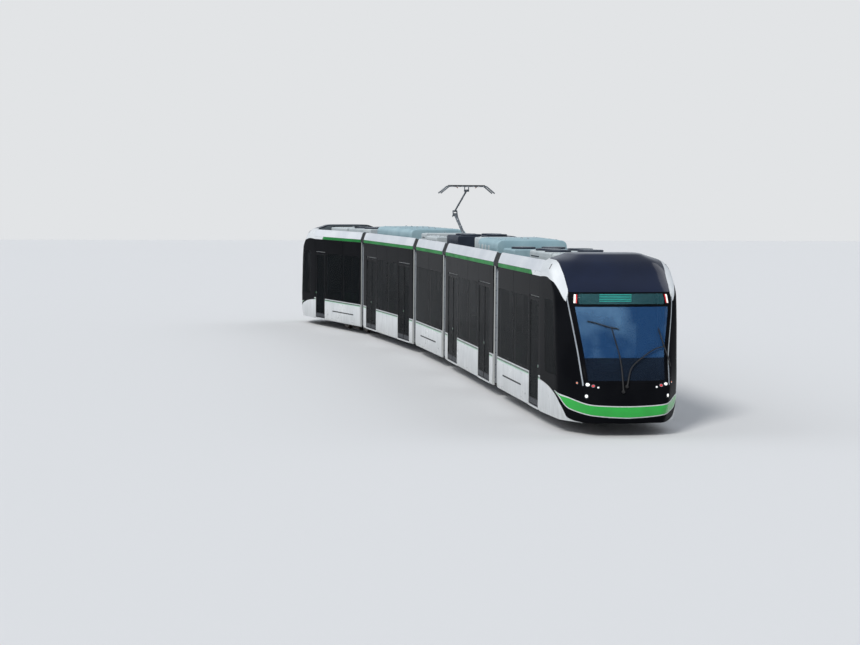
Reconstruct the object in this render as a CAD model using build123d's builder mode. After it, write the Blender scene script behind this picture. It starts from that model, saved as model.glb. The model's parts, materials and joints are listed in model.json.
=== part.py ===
"""Double-ended low-floor tram of five hinged sections, standing on a curve.

Millimetres, +Z up. +X is the heading of the middle car, towards the front cab.
Heights are counted from the rail head; the finished pieces are moved at the end so
that the origin is the centre of the whole tram's footprint, under the wheel flanges.
"""

import os
from collections import namedtuple
from math import asin, cos, radians, sin

from build123d import *

# Body cross-section
WIDTH = 2650.0
WALL = 60.0
SKIRT_Z = 250.0
WALL_TOP_Z = 3145.0
FAIRING_FOOT_Z = 3245.0
FAIRING_TOP_Z = 3485.0
FAIRING_INSET = 90.0
FAIRING_WALL = 40.0
CEILING_Z = 2700.0
ROOF_DECK_Z = 3160.0
HALF = WIDTH / 2
INNER = HALF - WALL

# Section lengths, from joint centre to joint centre or to the nose tip
SUSPENDED_LENGTH = 7150.0
MIDDLE_LENGTH = 4450.0
SEAM_X = 4770.0
NOSE_TIP_X = 7110.0
END_GAP = 290.0

# How far each section is turned from the middle car on the curve, in degrees
FRONT_SALOON_TURN = -1.7
FRONT_CAB_TURN = -1.7
REAR_SALOON_TURN = 4.0
REAR_CAB_TURN = 13.1

# Floors
DOOR_FLOOR_Z = 350.0
FLOOR_DEPTH = 90.0
RAMP_FLOOR_DEPTH = 50.0
RAMP_RUN = 450.0
AISLE_HALF = 600.0

# Gangway turntable and its pivot
TURNTABLE_R = 550.0
TURNTABLE_GAP = 10.0
TURNTABLE_DEPTH = 55.0
PIVOT_R = 45.0
PIVOT_CLEARANCE = 0.05
PIVOT_PLATE_DEPTH = 50.0
PIVOT_PLATE_HALF = 160.0

# Portal ring at each section end, and the bellows between two of them
POST = 70.0
RETURN_DEPTH = 260.0
BELLOWS_SET_IN = 85.0
BELLOWS_HALF = HALF - BELLOWS_SET_IN
BELLOWS_WALL = 50.0
BELLOWS_FOOT_Z = 300.0
BELLOWS_TOP_Z = 3100.0

# Doors
DOOR_TOP_Z = 2680.0
DOOR_FOOT_Z = 285.0
LEAF_THICK = 45.0
LEAF_FRAME = 75.0
LEAF_SEAL = 8.0
DOUBLE_DOOR = 1450.0
DOOR_POST = 380.0
SINGLE_DOOR = 920.0
SINGLE_DOOR_X = 3690.0
LEAF_GLASS_Z = 430.0

# Windows
WINDOW_FOOT_Z = 1060.0
WINDOW_TOP_Z = 2650.0
WINDOW_POST = 110.0
WINDOW_CORNER_R = 45.0
GLASS = 12.0

# Bogies and wheels
GAUGE_HALF = 752.5
WHEEL_R = 300.0
FLANGE_HEIGHT = 25.0
FLANGE_WIDTH = 25.0
TREAD_WIDTH = 95.0
WHEEL_BACK_Y = 680.0
TYRE_DEPTH = 55.0
WEB_HALF = 18.0
HUB_R = 95.0
HUB_INNER_STEP = 20.0
HUB_OUTER_STEP = 10.0
AXLE_R = 62.0
JOURNAL_R = 45.0
JOURNAL_CLEARANCE = 0.08
WHEELBASE = 1800.0
CAB_BOGIE_X = 1950.0
FRAME_Y = 990.0
FRAME_BEAM = 110.0
FRAME_DEPTH = 130.0
FRAME_BEAM_Z = WHEEL_R - FRAME_DEPTH / 2
AXLEBOX_R = 85.0
CROSS_BEAM = 120.0
BRAKE_HALF_LENGTH = 260.0
BRAKE_WIDTH = 66.0
BRAKE_FOOT_Z = 45.0
BRAKE_TOP_Z = 130.0
BRAKE_HANGER_R = 22.0
SPRING_R = 120.0
WHEEL_BOX_WALL = 25.0
WHEEL_CLEARANCE = 55.0
AXLE_CLEARANCE = 28.0
WHEEL_BOX_HALF = WHEELBASE / 2 + WHEEL_R + FLANGE_HEIGHT + WHEEL_CLEARANCE
WHEEL_BOX_TOP_Z = 2 * WHEEL_R + FLANGE_HEIGHT + 75.0
BOGIE_FLOOR_Z = WHEEL_R + AXLE_R + AXLE_CLEARANCE + RAMP_FLOOR_DEPTH

# Seats and poles
SEAT_WIDTH = 440.0
SEAT_THICK = 60.0
SEAT_HEIGHT = 430.0
SEAT_HEIGHT_ON_BOX = 110.0
SEAT_DEPTH = 430.0
SEAT_FOOT_DEPTH = 260.0
SEAT_BACK = 560.0
SEAT_WALL_GAP = 65.0
SEAT_Y = INNER - SEAT_WALL_GAP - SEAT_WIDTH / 2
POLE_R = 17.0
POLE_Y = 550.0

# Nose
NOSE_WALL = 45.0
BULKHEAD = 30.0
WINDSCREEN_FOOT_Z = 1080.0
WINDSCREEN_TOP_Z = 2930.0
WINDSCREEN_FOOT_HALF = 860.0
WINDSCREEN_TOP_HALF = 1075.0
WINDSCREEN_CUT_X = 5880.0
CAB_GLASS_X = (5040.0, 5620.0)
CAB_GLASS_SLANT = 240.0
CAB_GLASS_Z = (1150.0, 2760.0)
CAB_FLOOR_SIDE_X = 5670.0
CAB_FLOOR_TAPER = 60.0
CAB_FLOOR_END_X = 6420.0
CAB_FLOOR_END_HALF = 450.0
TOW_PIN_R = 20.0
TOW_ARM_END_X = 6880.0
TOW_EYE_X = 6820.0
TOW_ARM_HALF = 75.0
TOW_ARM_DEPTH = 60.0

# Nose levels: height, front x, half width of the face, corner x, corner half, seam half.
# The last two are how far the skin stands in from the side of the body there.
NOSE_SAG = 65.0
NOSE_CORNER_R = 420.0
NOSE_FACE_CORNER_R = 300.0
NOSE_FRONT_R = 2000.0
NOSE_LEVELS = (
    (250.0, 7020.0, 760.0, 6200.0, 90.0, 0.0),
    (560.0, NOSE_TIP_X, 800.0, 6230.0, 60.0, 0.0),
    (1000.0, 6985.0, 880.0, 6230.0, 45.0, 0.0),
    (1550.0, 6750.0, 920.0, 6180.0, 30.0, 0.0),
    (2800.0, 6420.0, 990.0, 6040.0, 15.0, 0.0),
    (3245.0, 6030.0, 970.0, 5620.0, 8.0, 0.0),
    (3485.0, 5790.0, 900.0, 5370.0, 120.0, FAIRING_INSET),
    (3630.0, 5560.0, 700.0, 5050.0, 475.0, 455.0),
)

# Driver's desk and seat, as side outlines: x and height of each corner
DESK_HALF = 600.0
DESK_OUTLINE = (
    (5800.0, DOOR_FLOOR_Z),
    (6300.0, DOOR_FLOOR_Z),
    (6500.0, 1180.0),
    (6380.0, 1320.0),
    (5980.0, 1230.0),
)
DRIVER_SEAT_OUTLINE = (
    (5120.0, DOOR_FLOOR_Z),
    (5420.0, DOOR_FLOOR_Z),
    (5420.0, 800.0),
    (5600.0, 850.0),
    (5600.0, 930.0),
    (5180.0, 930.0),
    (5080.0, 1650.0),
    (4980.0, 1650.0),
    (5080.0, 800.0),
    (5120.0, 800.0),
)

# Sign box at the top of the windscreen, held from the nose roof by two brackets
SIGN_HALF = 800.0
SIGN_FOOT_Z = 2640.0
SIGN_TOP_Z = 2900.0
SIGN_X = 6120.0
SIGN_DEPTH = 120.0
SIGN_BRACKET = 40.0
SIGN_BRACKET_X = 5300.0
SIGN_BRACKET_Y = 480.0

# Jacking pads under the suspended cars
PAD = 120.0
PAD_DEPTH = 45.0
PAD_X = 2300.0
PAD_Y = 1080.0

# Roof gear by section: distance from the low end, distance from the high end, low y, high y,
# top height, chamfer
CAB_GEAR = (
    (610.0, 1820.0, -700.0, 700.0, 3640.0, 50.0),
    (2860.0, 100.0, -700.0, 700.0, 3600.0, 60.0),
)
ROOF_GEAR = {
    "front_cab": CAB_GEAR,
    "rear_cab": CAB_GEAR,
    "front_saloon": (
        (1785.0, 4135.0, -860.0, 860.0, 3740.0, 40.0),
        (2485.0, 1615.0, -900.0, 900.0, 3750.0, 90.0),
        (5035.0, 285.0, -760.0, 760.0, 3560.0, 50.0),
    ),
    "rear_saloon": (
        (185.0, 1815.0, -900.0, 900.0, 3740.0, 90.0),
        (5235.0, 785.0, -700.0, 700.0, 3640.0, 40.0),
    ),
    "middle_car": (
        (85.0, 2175.0, -1040.0, -640.0, 3610.0, 40.0),
        (85.0, 2175.0, 640.0, 1040.0, 3610.0, 40.0),
        (2235.0, 135.0, -850.0, 850.0, 3720.0, 50.0),
    ),
}

# Pantograph on the middle car: places are along and up from the lower arm's pivot
PANTO_X = -950.0
PANTO_PIVOT_Z = 3500.0
LOWER_ARM = 1750.0
LOWER_ARM_ANGLE = 24.0
UPPER_ARM = 1750.0
UPPER_ARM_ANGLE = 25.0
LOWER_ARM_R = 42.0
UPPER_ARM_R = 26.0
UPPER_ARM_RISE = 120.0
BOSS_R = 48.0
BOSS_HALF = 44.0
LUG_GAP = 6.0
LUG = 20.0
PIN_R = 18.0
PIN_CLEARANCE = 0.05
ROD_FOOT = (-360.0, -40.0)
ROD_HEEL = 121.0
ROD_R = 13.0
ROD_EYE_R = 26.0
ROD_PIN_R = 12.0
ROD_SIDE = 14.0
HEAD_BOSS_R = 34.0
HEAD_RISE = 130.0
STRIP_SPACING = 340.0
STRIP_HALF = 560.0
STRIP_R = 20.0
HORN_REACH = 260.0
HORN_DROP = 210.0
BASE_FRAME_Z = 3370.0
BASE_TUBE = 60.0
BASE_HALF_LENGTH = 470.0
BASE_HALF_WIDTH = 430.0
INSULATOR_R = 55.0

Section = namedtuple("Section", "name base low_x high_x")


def heading(angle):
    return Vector(cos(radians(angle)), sin(radians(angle)), 0)


def section_plane(origin, angle):
    return Plane(origin, x_dir=heading(angle), z_dir=(0, 0, 1))


def across(base, x=0.0):
    """Sketch plane across a section: sketch x to its left, sketch y up."""
    origin = base.from_local_coords(Vector(x, 0, 0))
    return Plane(origin, x_dir=base.y_dir, z_dir=base.x_dir)


def beside(base, y=0.0):
    """Sketch plane along a section: sketch x forward, sketch y up, normal to the right."""
    origin = base.from_local_coords(Vector(0, y, 0))
    return Plane(origin, x_dir=base.x_dir, z_dir=-base.y_dir)


half_middle = MIDDLE_LENGTH / 2
half_suspended = SUSPENDED_LENGTH / 2
front_hinge = Vector(half_middle, 0, 0)
rear_hinge = Vector(-half_middle, 0, 0)
front_cab_hinge = front_hinge + SUSPENDED_LENGTH * heading(FRONT_SALOON_TURN)
rear_cab_hinge = rear_hinge - SUSPENDED_LENGTH * heading(REAR_SALOON_TURN)
front_saloon_centre = front_hinge + half_suspended * heading(FRONT_SALOON_TURN)
rear_saloon_centre = rear_hinge - half_suspended * heading(REAR_SALOON_TURN)

end_x = half_suspended - END_GAP
middle_end_x = half_middle - END_GAP
CABS = (
    Section("front_cab", section_plane(front_cab_hinge, FRONT_CAB_TURN), END_GAP, SEAM_X),
    Section("rear_cab", section_plane(rear_cab_hinge, REAR_CAB_TURN + 180), END_GAP, SEAM_X),
)
SALOONS = (
    Section("front_saloon", section_plane(front_saloon_centre, FRONT_SALOON_TURN), -end_x, end_x),
    Section("rear_saloon", section_plane(rear_saloon_centre, REAR_SALOON_TURN), -end_x, end_x),
)
MIDDLE = Section("middle_car", section_plane((0, 0, 0), 0), -middle_end_x, middle_end_x)

pieces = {}


def keep(name, solid):
    solid.label = name
    pieces[name] = solid


def door_spans(section):
    """The doorways of a section, as pairs of x: low end and high end."""
    if section in CABS:
        return [(SINGLE_DOOR_X, SINGLE_DOOR_X + SINGLE_DOOR)]
    if section in SALOONS:
        near = section.high_x - DOOR_POST
        return [(-near, DOUBLE_DOOR - near), (near - DOUBLE_DOOR, near)]
    return []


def window_spans(section):
    """The window openings of a section: two equal ones side by side."""
    if section in CABS:
        low, high = section.low_x + WINDOW_POST, SINGLE_DOOR_X - WINDOW_POST
    elif section in SALOONS:
        high = section.high_x - DOOR_POST - DOUBLE_DOOR - WINDOW_POST
        low = -high
    else:
        low, high = section.low_x + WINDOW_POST, section.high_x - WINDOW_POST
    middle = (low + high) / 2
    return [(low, middle - WINDOW_POST / 2), (middle + WINDOW_POST / 2, high)]


def leaf_spans(section):
    """The door leaves: one in a cab's narrow doorway, two in a wide one."""
    leaves = []
    for low, high in door_spans(section):
        if high - low < DOUBLE_DOOR:
            leaves.append((low, high))
        else:
            middle = (low + high) / 2
            leaves.append((low, middle - LEAF_SEAL / 2))
            leaves.append((middle + LEAF_SEAL / 2, high))
    return leaves


def portal_ends(section):
    """The ends of a section that face a joint: the x of each and its inward direction."""
    if section in CABS:
        return [(section.low_x, 1)]
    return [(section.low_x, 1), (section.high_x, -1)]


def side_walls(section):
    base = section.base
    with BuildPart() as walls:
        with BuildSketch(base.offset(SKIRT_Z)):
            with Locations(((section.low_x + section.high_x) / 2, HALF - WALL / 2)):
                Rectangle(section.high_x - section.low_x, WALL)
        extrude(amount=WALL_TOP_Z - SKIRT_Z)
        with BuildSketch(base.offset(DOOR_FLOOR_Z)):
            for end, inward in portal_ends(section):
                with Locations((end + inward * POST / 2, HALF - RETURN_DEPTH / 2)):
                    Rectangle(POST, RETURN_DEPTH)
        extrude(amount=CEILING_Z - DOOR_FLOOR_Z)
        with BuildSketch(beside(base, HALF)):
            for low, high in window_spans(section):
                with Locations(((low + high) / 2, (WINDOW_FOOT_Z + WINDOW_TOP_Z) / 2)):
                    RectangleRounded(high - low, WINDOW_TOP_Z - WINDOW_FOOT_Z, WINDOW_CORNER_R)
            for low, high in door_spans(section):
                with Locations(((low + high) / 2, (SKIRT_Z + DOOR_TOP_Z) / 2)):
                    Rectangle(high - low, DOOR_TOP_Z - SKIRT_Z)
        extrude(amount=WALL, mode=Mode.SUBTRACT)
        mirror(about=beside(base))
    return walls.part


def door_leaves(section):
    base = section.base
    with BuildPart() as leaves:
        for low, high in leaf_spans(section):
            with BuildSketch(beside(base, HALF)):
                with Locations(((low + high) / 2, (DOOR_FOOT_Z + DOOR_TOP_Z) / 2)):
                    Rectangle(high - low, DOOR_TOP_Z - DOOR_FOOT_Z)
                with Locations(((low + high) / 2, (LEAF_GLASS_Z + DOOR_TOP_Z - LEAF_FRAME) / 2)):
                    RectangleRounded(
                        high - low - 2 * LEAF_FRAME,
                        DOOR_TOP_Z - LEAF_FRAME - LEAF_GLASS_Z,
                        WINDOW_CORNER_R,
                        mode=Mode.SUBTRACT,
                    )
            extrude(amount=LEAF_THICK)
        mirror(about=beside(base))
    return leaves.part


def glass_panes(section):
    base = section.base
    with BuildPart() as panes:
        with BuildSketch(beside(base, HALF)):
            for low, high in window_spans(section):
                with Locations(((low + high) / 2, (WINDOW_FOOT_Z + WINDOW_TOP_Z) / 2)):
                    RectangleRounded(high - low, WINDOW_TOP_Z - WINDOW_FOOT_Z, WINDOW_CORNER_R)
            for low, high in leaf_spans(section):
                with Locations(((low + high) / 2, (LEAF_GLASS_Z + DOOR_TOP_Z - LEAF_FRAME) / 2)):
                    RectangleRounded(
                        high - low - 2 * LEAF_FRAME,
                        DOOR_TOP_Z - LEAF_FRAME - LEAF_GLASS_Z,
                        WINDOW_CORNER_R,
                    )
        extrude(amount=GLASS)
        mirror(about=beside(base))
    return panes.part


def roof_shell(section):
    """Ceiling, roof deck and the two sloping fairings; a cab's roof ends in a bulkhead."""
    foot = HALF
    top = HALF - FAIRING_INSET
    inner_fairing = [
        (top - FAIRING_WALL, FAIRING_TOP_Z),
        (foot - FAIRING_WALL, FAIRING_FOOT_Z),
        (foot - FAIRING_WALL - WALL, ROOF_DECK_Z),
    ]
    with BuildPart() as roof:
        with BuildSketch(across(section.base, section.low_x)):
            with BuildLine():
                right = [
                    (INNER, CEILING_Z),
                    (INNER, WALL_TOP_Z),
                    (foot, WALL_TOP_Z),
                    (foot, FAIRING_FOOT_Z),
                    (top, FAIRING_TOP_Z),
                    *inner_fairing,
                ]
                left = [(-y, z) for y, z in reversed(right)]
                Polyline(*right, *left, close=True)
            make_face()
        extrude(amount=section.high_x - section.low_x)
        if section in CABS:
            cap_z, cap_in = NOSE_LEVELS[-1][0] - NOSE_WALL, NOSE_LEVELS[-1][-1] + NOSE_WALL
            with BuildSketch(across(section.base, section.high_x - BULKHEAD)):
                with BuildLine():
                    right = [(HALF - cap_in, cap_z), *inner_fairing]
                    left = [(-y, z) for y, z in reversed(right)]
                    Polyline(*right, *left, close=True)
                make_face()
            extrude(amount=BULKHEAD)
    return roof.part


def tongue(base, towards):
    """Turntable plate of a bogied section: it reaches over the joint, with the pivot's bore."""
    with BuildPart() as plate:
        with BuildSketch(base.offset(DOOR_FLOOR_Z - TURNTABLE_DEPTH)):
            Circle(TURNTABLE_R)
            with Locations((-towards * END_GAP / 2, 0)):
                Rectangle(END_GAP, 2 * TURNTABLE_R * cos(asin(END_GAP / TURNTABLE_R)))
            Circle(PIVOT_R + PIVOT_CLEARANCE, mode=Mode.SUBTRACT)
        extrude(amount=TURNTABLE_DEPTH)
    return plate.part


def hinge_planes(section):
    """The joint centres at a bogied section's ends, with the direction out of the section."""
    base = section.base
    if section in CABS:
        return [(base, -1)]
    reach = section.high_x + END_GAP
    low = Plane(base.from_local_coords(Vector(-reach, 0, 0)), x_dir=base.x_dir, z_dir=(0, 0, 1))
    high = Plane(base.from_local_coords(Vector(reach, 0, 0)), x_dir=base.x_dir, z_dir=(0, 0, 1))
    return [(low, -1), (high, 1)]


def wheel_boxes(base, bogie_x):
    """The two boxes over a bogie's wheels, open below, one on each side of the aisle."""
    length, width = 2 * WHEEL_BOX_HALF, INNER - AISLE_HALF
    with BuildPart() as boxes:
        with BuildSketch(base.offset(BOGIE_FLOOR_Z - RAMP_FLOOR_DEPTH)):
            for side in (-1, 1):
                with Locations((bogie_x, side * (AISLE_HALF + INNER) / 2)):
                    Rectangle(length, width)
                    Rectangle(
                        length - 2 * WHEEL_BOX_WALL,
                        width - 2 * WHEEL_BOX_WALL,
                        mode=Mode.SUBTRACT,
                    )
        extrude(amount=WHEEL_BOX_TOP_Z - BOGIE_FLOOR_Z + RAMP_FLOOR_DEPTH)
        with BuildSketch(base.offset(WHEEL_BOX_TOP_Z - WHEEL_BOX_WALL)):
            for side in (-1, 1):
                with Locations((bogie_x, side * (AISLE_HALF + INNER) / 2)):
                    Rectangle(length, width)
        extrude(amount=WHEEL_BOX_WALL)
    return boxes.part


def bogied_floor(section, bogie_x):
    """Floor that climbs between the two wheel boxes over the bogie, with turntable plates."""
    base = section.base
    low, high = section.low_x, section.high_x
    box_low, box_high = bogie_x - WHEEL_BOX_HALF, bogie_x + WHEEL_BOX_HALF
    plates = [tongue(plane, out) for plane, out in hinge_planes(section)]
    with BuildPart() as floor:
        with BuildSketch(beside(base, INNER)):
            with BuildLine():
                ramp_end = box_high + RAMP_RUN if section in CABS else high - POST
                top = [
                    (low, DOOR_FLOOR_Z),
                    (low + POST, DOOR_FLOOR_Z),
                    (box_low, BOGIE_FLOOR_Z),
                    (box_high, BOGIE_FLOOR_Z),
                    (ramp_end, DOOR_FLOOR_Z),
                    (high, DOOR_FLOOR_Z),
                ]
                bottom = [(x, z - RAMP_FLOOR_DEPTH) for x, z in reversed(top)]
                Polyline(*top, *bottom, close=True)
            make_face()
        extrude(amount=2 * INNER)
        with BuildSketch(base.offset(SKIRT_Z)):
            for side in (-1, 1):
                with Locations((bogie_x, side * (AISLE_HALF + INNER) / 2)):
                    Rectangle(box_high - box_low, INNER - AISLE_HALF)
        extrude(amount=WHEEL_BOX_TOP_Z - SKIRT_Z, mode=Mode.SUBTRACT)
        add(plates)
        if section in CABS:
            with BuildSketch(base.offset(DOOR_FLOOR_Z - FLOOR_DEPTH)):
                with BuildLine():
                    Polyline(
                        (high, -INNER),
                        (CAB_FLOOR_SIDE_X, CAB_FLOOR_TAPER - INNER),
                        (CAB_FLOOR_END_X, -CAB_FLOOR_END_HALF),
                        (CAB_FLOOR_END_X, CAB_FLOOR_END_HALF),
                        (CAB_FLOOR_SIDE_X, INNER - CAB_FLOOR_TAPER),
                        (high, INNER),
                        close=True,
                    )
                make_face()
            extrude(amount=FLOOR_DEPTH)
            with BuildSketch(base.offset(DOOR_FLOOR_Z - FLOOR_DEPTH)):
                with Locations(((CAB_FLOOR_END_X + TOW_ARM_END_X) / 2, 0)):
                    Rectangle(TOW_ARM_END_X - CAB_FLOOR_END_X, 2 * TOW_ARM_HALF)
                with Locations((TOW_EYE_X, 0)):
                    Circle(TOW_PIN_R, mode=Mode.SUBTRACT)
            extrude(amount=TOW_ARM_DEPTH)
    return Compound(floor.part.solids() + wheel_boxes(base, bogie_x).solids())


def suspended_floor(section):
    """Low flat floor with a pivot plate and pin at each end, under the neighbour's turntable."""
    base = section.base
    pin_foot = DOOR_FLOOR_Z - TURNTABLE_DEPTH - TURNTABLE_GAP
    hinge_x = section.high_x + END_GAP
    root_x = section.high_x - TURNTABLE_R
    with BuildPart() as floor:
        with BuildSketch(base.offset(DOOR_FLOOR_Z - FLOOR_DEPTH)):
            Rectangle(section.high_x - section.low_x, 2 * INNER)
            with Locations((-hinge_x, 0), (hinge_x, 0)):
                Circle(TURNTABLE_R + TURNTABLE_GAP, mode=Mode.SUBTRACT)
        extrude(amount=FLOOR_DEPTH)
        with BuildSketch(base.offset(pin_foot - PIVOT_PLATE_DEPTH)):
            for out in (-1, 1):
                with Locations((out * (hinge_x + root_x) / 2, 0)):
                    Rectangle(hinge_x - root_x, 2 * PIVOT_PLATE_HALF)
                with Locations((out * hinge_x, 0)):
                    Circle(PIVOT_PLATE_HALF)
        extrude(amount=PIVOT_PLATE_DEPTH)
        with BuildSketch(base.offset(pin_foot)):
            with Locations((-hinge_x, 0), (hinge_x, 0)):
                Circle(PIVOT_R)
        extrude(amount=TURNTABLE_GAP + TURNTABLE_DEPTH)
        with BuildSketch(base.offset(DOOR_FLOOR_Z - FLOOR_DEPTH - PAD_DEPTH)):
            with GridLocations(2 * PAD_X, 2 * PAD_Y, 2, 2):
                Rectangle(PAD, PAD)
        extrude(amount=PAD_DEPTH)
    return floor.part


def seats_and_poles(section, bogie_x):
    """Pairs of seats back to back on the wheel boxes or on plinths, and floor-to-roof poles."""
    base = section.base
    bogied = bogie_x is not None
    foot = WHEEL_BOX_TOP_Z if bogied else DOOR_FLOOR_Z
    cushion = foot + (SEAT_HEIGHT_ON_BOX if bogied else SEAT_HEIGHT)
    centre = bogie_x if bogied else 0.0
    floor_z = BOGIE_FLOOR_Z if bogied else DOOR_FLOOR_Z
    with BuildPart() as seats:
        for way in (-1, 1):
            for pair in (-1, 1):
                back_x = centre + pair * (SEAT_DEPTH + 2 * SEAT_THICK) + way * SEAT_THICK / 2
                with BuildSketch(beside(base, SEAT_Y + SEAT_WIDTH / 2)):
                    with BuildLine():
                        Polyline(
                            (back_x, foot),
                            (back_x + way * SEAT_FOOT_DEPTH, foot),
                            (back_x + way * SEAT_DEPTH, cushion - SEAT_THICK),
                            (back_x + way * SEAT_DEPTH, cushion),
                            (back_x + way * SEAT_THICK, cushion),
                            (back_x + way * SEAT_THICK / 2, cushion + SEAT_BACK),
                            (back_x, cushion + SEAT_BACK),
                            close=True,
                        )
                    make_face()
                extrude(amount=SEAT_WIDTH)
        with BuildSketch(base.offset(floor_z)):
            for reach in (-1, 1):
                with Locations((centre + reach * (2 * SEAT_DEPTH + 3 * SEAT_THICK), POLE_Y)):
                    Circle(POLE_R)
        extrude(amount=CEILING_Z - floor_z)
        mirror(about=beside(base))
    return seats.part


def nose_section(base, z, front_x, face_half, corner_x, corner_in, seam_in, inset):
    """One level of the nose: a shallow arc across the front, rounded corners, tapering sides.

    All sizes are of the outer skin; inset gives the same level of the inner skin.
    """
    sketch_plane = base.offset(z)
    with BuildSketch(sketch_plane) as level:
        with BuildLine():
            half = [
                (SEAM_X, HALF - seam_in - inset),
                (corner_x - inset / 2, HALF - corner_in - inset),
                (front_x - NOSE_SAG - inset, face_half - inset / 2),
            ]
            other = [(x, -y) for x, y in reversed(half)]
            FilletPolyline(
                *half,
                (front_x - inset, 0),
                *other,
                radius=[NOSE_CORNER_R, NOSE_FACE_CORNER_R, NOSE_FRONT_R]
                + [NOSE_FACE_CORNER_R, NOSE_CORNER_R],
            )
            Line(other[-1], half[0])
        make_face()
    return level.sketch


def nose_body(base, inset, top):
    """The nose as one full body up to a top level: its outer form, or the hollow inside it."""
    with BuildPart() as body:
        for z, *sizes in NOSE_LEVELS:
            add(nose_section(base, min(z, top), *sizes, inset))
        loft(ruled=True)
    return body.part


def nose_shell(base):
    top = NOSE_LEVELS[-1][0]
    with BuildPart() as shell:
        add(nose_body(base, 0.0, top))
        add(nose_body(base, NOSE_WALL, top - NOSE_WALL), mode=Mode.SUBTRACT)
    return shell.part


def windscreen_cut(base):
    with BuildPart() as cut:
        with BuildSketch(across(base, WINDSCREEN_CUT_X)):
            with BuildLine():
                Polyline(
                    (-WINDSCREEN_FOOT_HALF, WINDSCREEN_FOOT_Z),
                    (WINDSCREEN_FOOT_HALF, WINDSCREEN_FOOT_Z),
                    (WINDSCREEN_TOP_HALF, WINDSCREEN_TOP_Z),
                    (-WINDSCREEN_TOP_HALF, WINDSCREEN_TOP_Z),
                    close=True,
                )
            make_face()
        extrude(amount=NOSE_TIP_X - WINDSCREEN_CUT_X)
    return cut.part


def cab_glass_cut(base):
    low, high = CAB_GLASS_X
    foot, top = CAB_GLASS_Z
    with BuildPart() as cut:
        with BuildSketch(beside(base, HALF)):
            with BuildLine():
                Polyline(
                    (low, foot),
                    (high + CAB_GLASS_SLANT, foot),
                    (high, top),
                    (low, top),
                    close=True,
                )
            make_face()
        extrude(amount=2 * HALF)
    return cut.part


def cab_interior(base):
    """Driver's desk, seat and the sign box behind the top of the windscreen."""
    with BuildPart() as fittings:
        for outline, half_width in (
            (DESK_OUTLINE, DESK_HALF),
            (DRIVER_SEAT_OUTLINE, SEAT_WIDTH / 2),
        ):
            with BuildSketch(beside(base, half_width)):
                with BuildLine():
                    Polyline(*outline, close=True)
                make_face()
            extrude(amount=2 * half_width)
        with BuildSketch(beside(base, SIGN_HALF)):
            with Locations((SIGN_X, (SIGN_FOOT_Z + SIGN_TOP_Z) / 2)):
                Rectangle(SIGN_DEPTH, SIGN_TOP_Z - SIGN_FOOT_Z)
        extrude(amount=2 * SIGN_HALF)
        back = SIGN_X - SIGN_DEPTH / 2
        roof_z = NOSE_LEVELS[-1][0] - NOSE_WALL
        for side in (-1, 1):
            with BuildSketch(beside(base, side * SIGN_BRACKET_Y)):
                with BuildLine():
                    Polyline(
                        (back, SIGN_TOP_Z - SIGN_BRACKET),
                        (back, SIGN_TOP_Z),
                        (SIGN_BRACKET_X + SIGN_BRACKET, SIGN_TOP_Z),
                        (SIGN_BRACKET_X + SIGN_BRACKET, roof_z),
                        (SIGN_BRACKET_X, roof_z),
                        (SIGN_BRACKET_X, SIGN_TOP_Z - SIGN_BRACKET),
                        close=True,
                    )
                make_face()
            extrude(amount=SIGN_BRACKET)
    return fittings.part


def bogie_frame(base, bogie_x):
    axle_z = WHEEL_R
    beam_top = FRAME_BEAM_Z + FRAME_DEPTH
    with BuildPart() as frame:
        with BuildSketch(base.offset(FRAME_BEAM_Z)):
            for side in (-1, 1):
                with Locations((bogie_x, side * FRAME_Y)):
                    Rectangle(WHEELBASE + 2 * AXLEBOX_R, FRAME_BEAM)
            with Locations((bogie_x, 0)):
                Rectangle(2 * CROSS_BEAM, 2 * FRAME_Y)
        extrude(amount=FRAME_DEPTH)
        with BuildSketch(beside(base, FRAME_Y + FRAME_BEAM / 2)):
            for end in (-1, 1):
                with Locations((bogie_x + end * WHEELBASE / 2, axle_z)):
                    Circle(AXLEBOX_R)
        extrude(amount=FRAME_BEAM)
        with BuildSketch(beside(base, -FRAME_Y + FRAME_BEAM / 2)):
            for end in (-1, 1):
                with Locations((bogie_x + end * WHEELBASE / 2, axle_z)):
                    Circle(AXLEBOX_R)
        extrude(amount=FRAME_BEAM)
        with BuildSketch(base.offset(beam_top)):
            for side in (-1, 1):
                with Locations((bogie_x, side * FRAME_Y)):
                    Circle(SPRING_R)
        extrude(amount=WHEEL_BOX_TOP_Z - WHEEL_BOX_WALL - beam_top)
        with BuildSketch(base.offset(BRAKE_FOOT_Z)):
            for side in (-1, 1):
                with Locations((bogie_x, side * GAUGE_HALF)):
                    Rectangle(2 * BRAKE_HALF_LENGTH, BRAKE_WIDTH)
        extrude(amount=BRAKE_TOP_Z - BRAKE_FOOT_Z)
        with BuildSketch(base.offset(BRAKE_TOP_Z)):
            for side in (-1, 1):
                for end in (-1, 1):
                    with Locations((bogie_x + end * CROSS_BEAM / 2, side * GAUGE_HALF)):
                        Circle(BRAKE_HANGER_R)
        extrude(amount=FRAME_BEAM_Z - BRAKE_TOP_Z)
        with BuildSketch(beside(base, FRAME_Y + FRAME_BEAM / 2)):
            for end in (-1, 1):
                with Locations((bogie_x + end * WHEELBASE / 2, axle_z)):
                    Circle(JOURNAL_R + JOURNAL_CLEARANCE)
        extrude(amount=2 * FRAME_Y + FRAME_BEAM, mode=Mode.SUBTRACT)
    return frame.part


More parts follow.
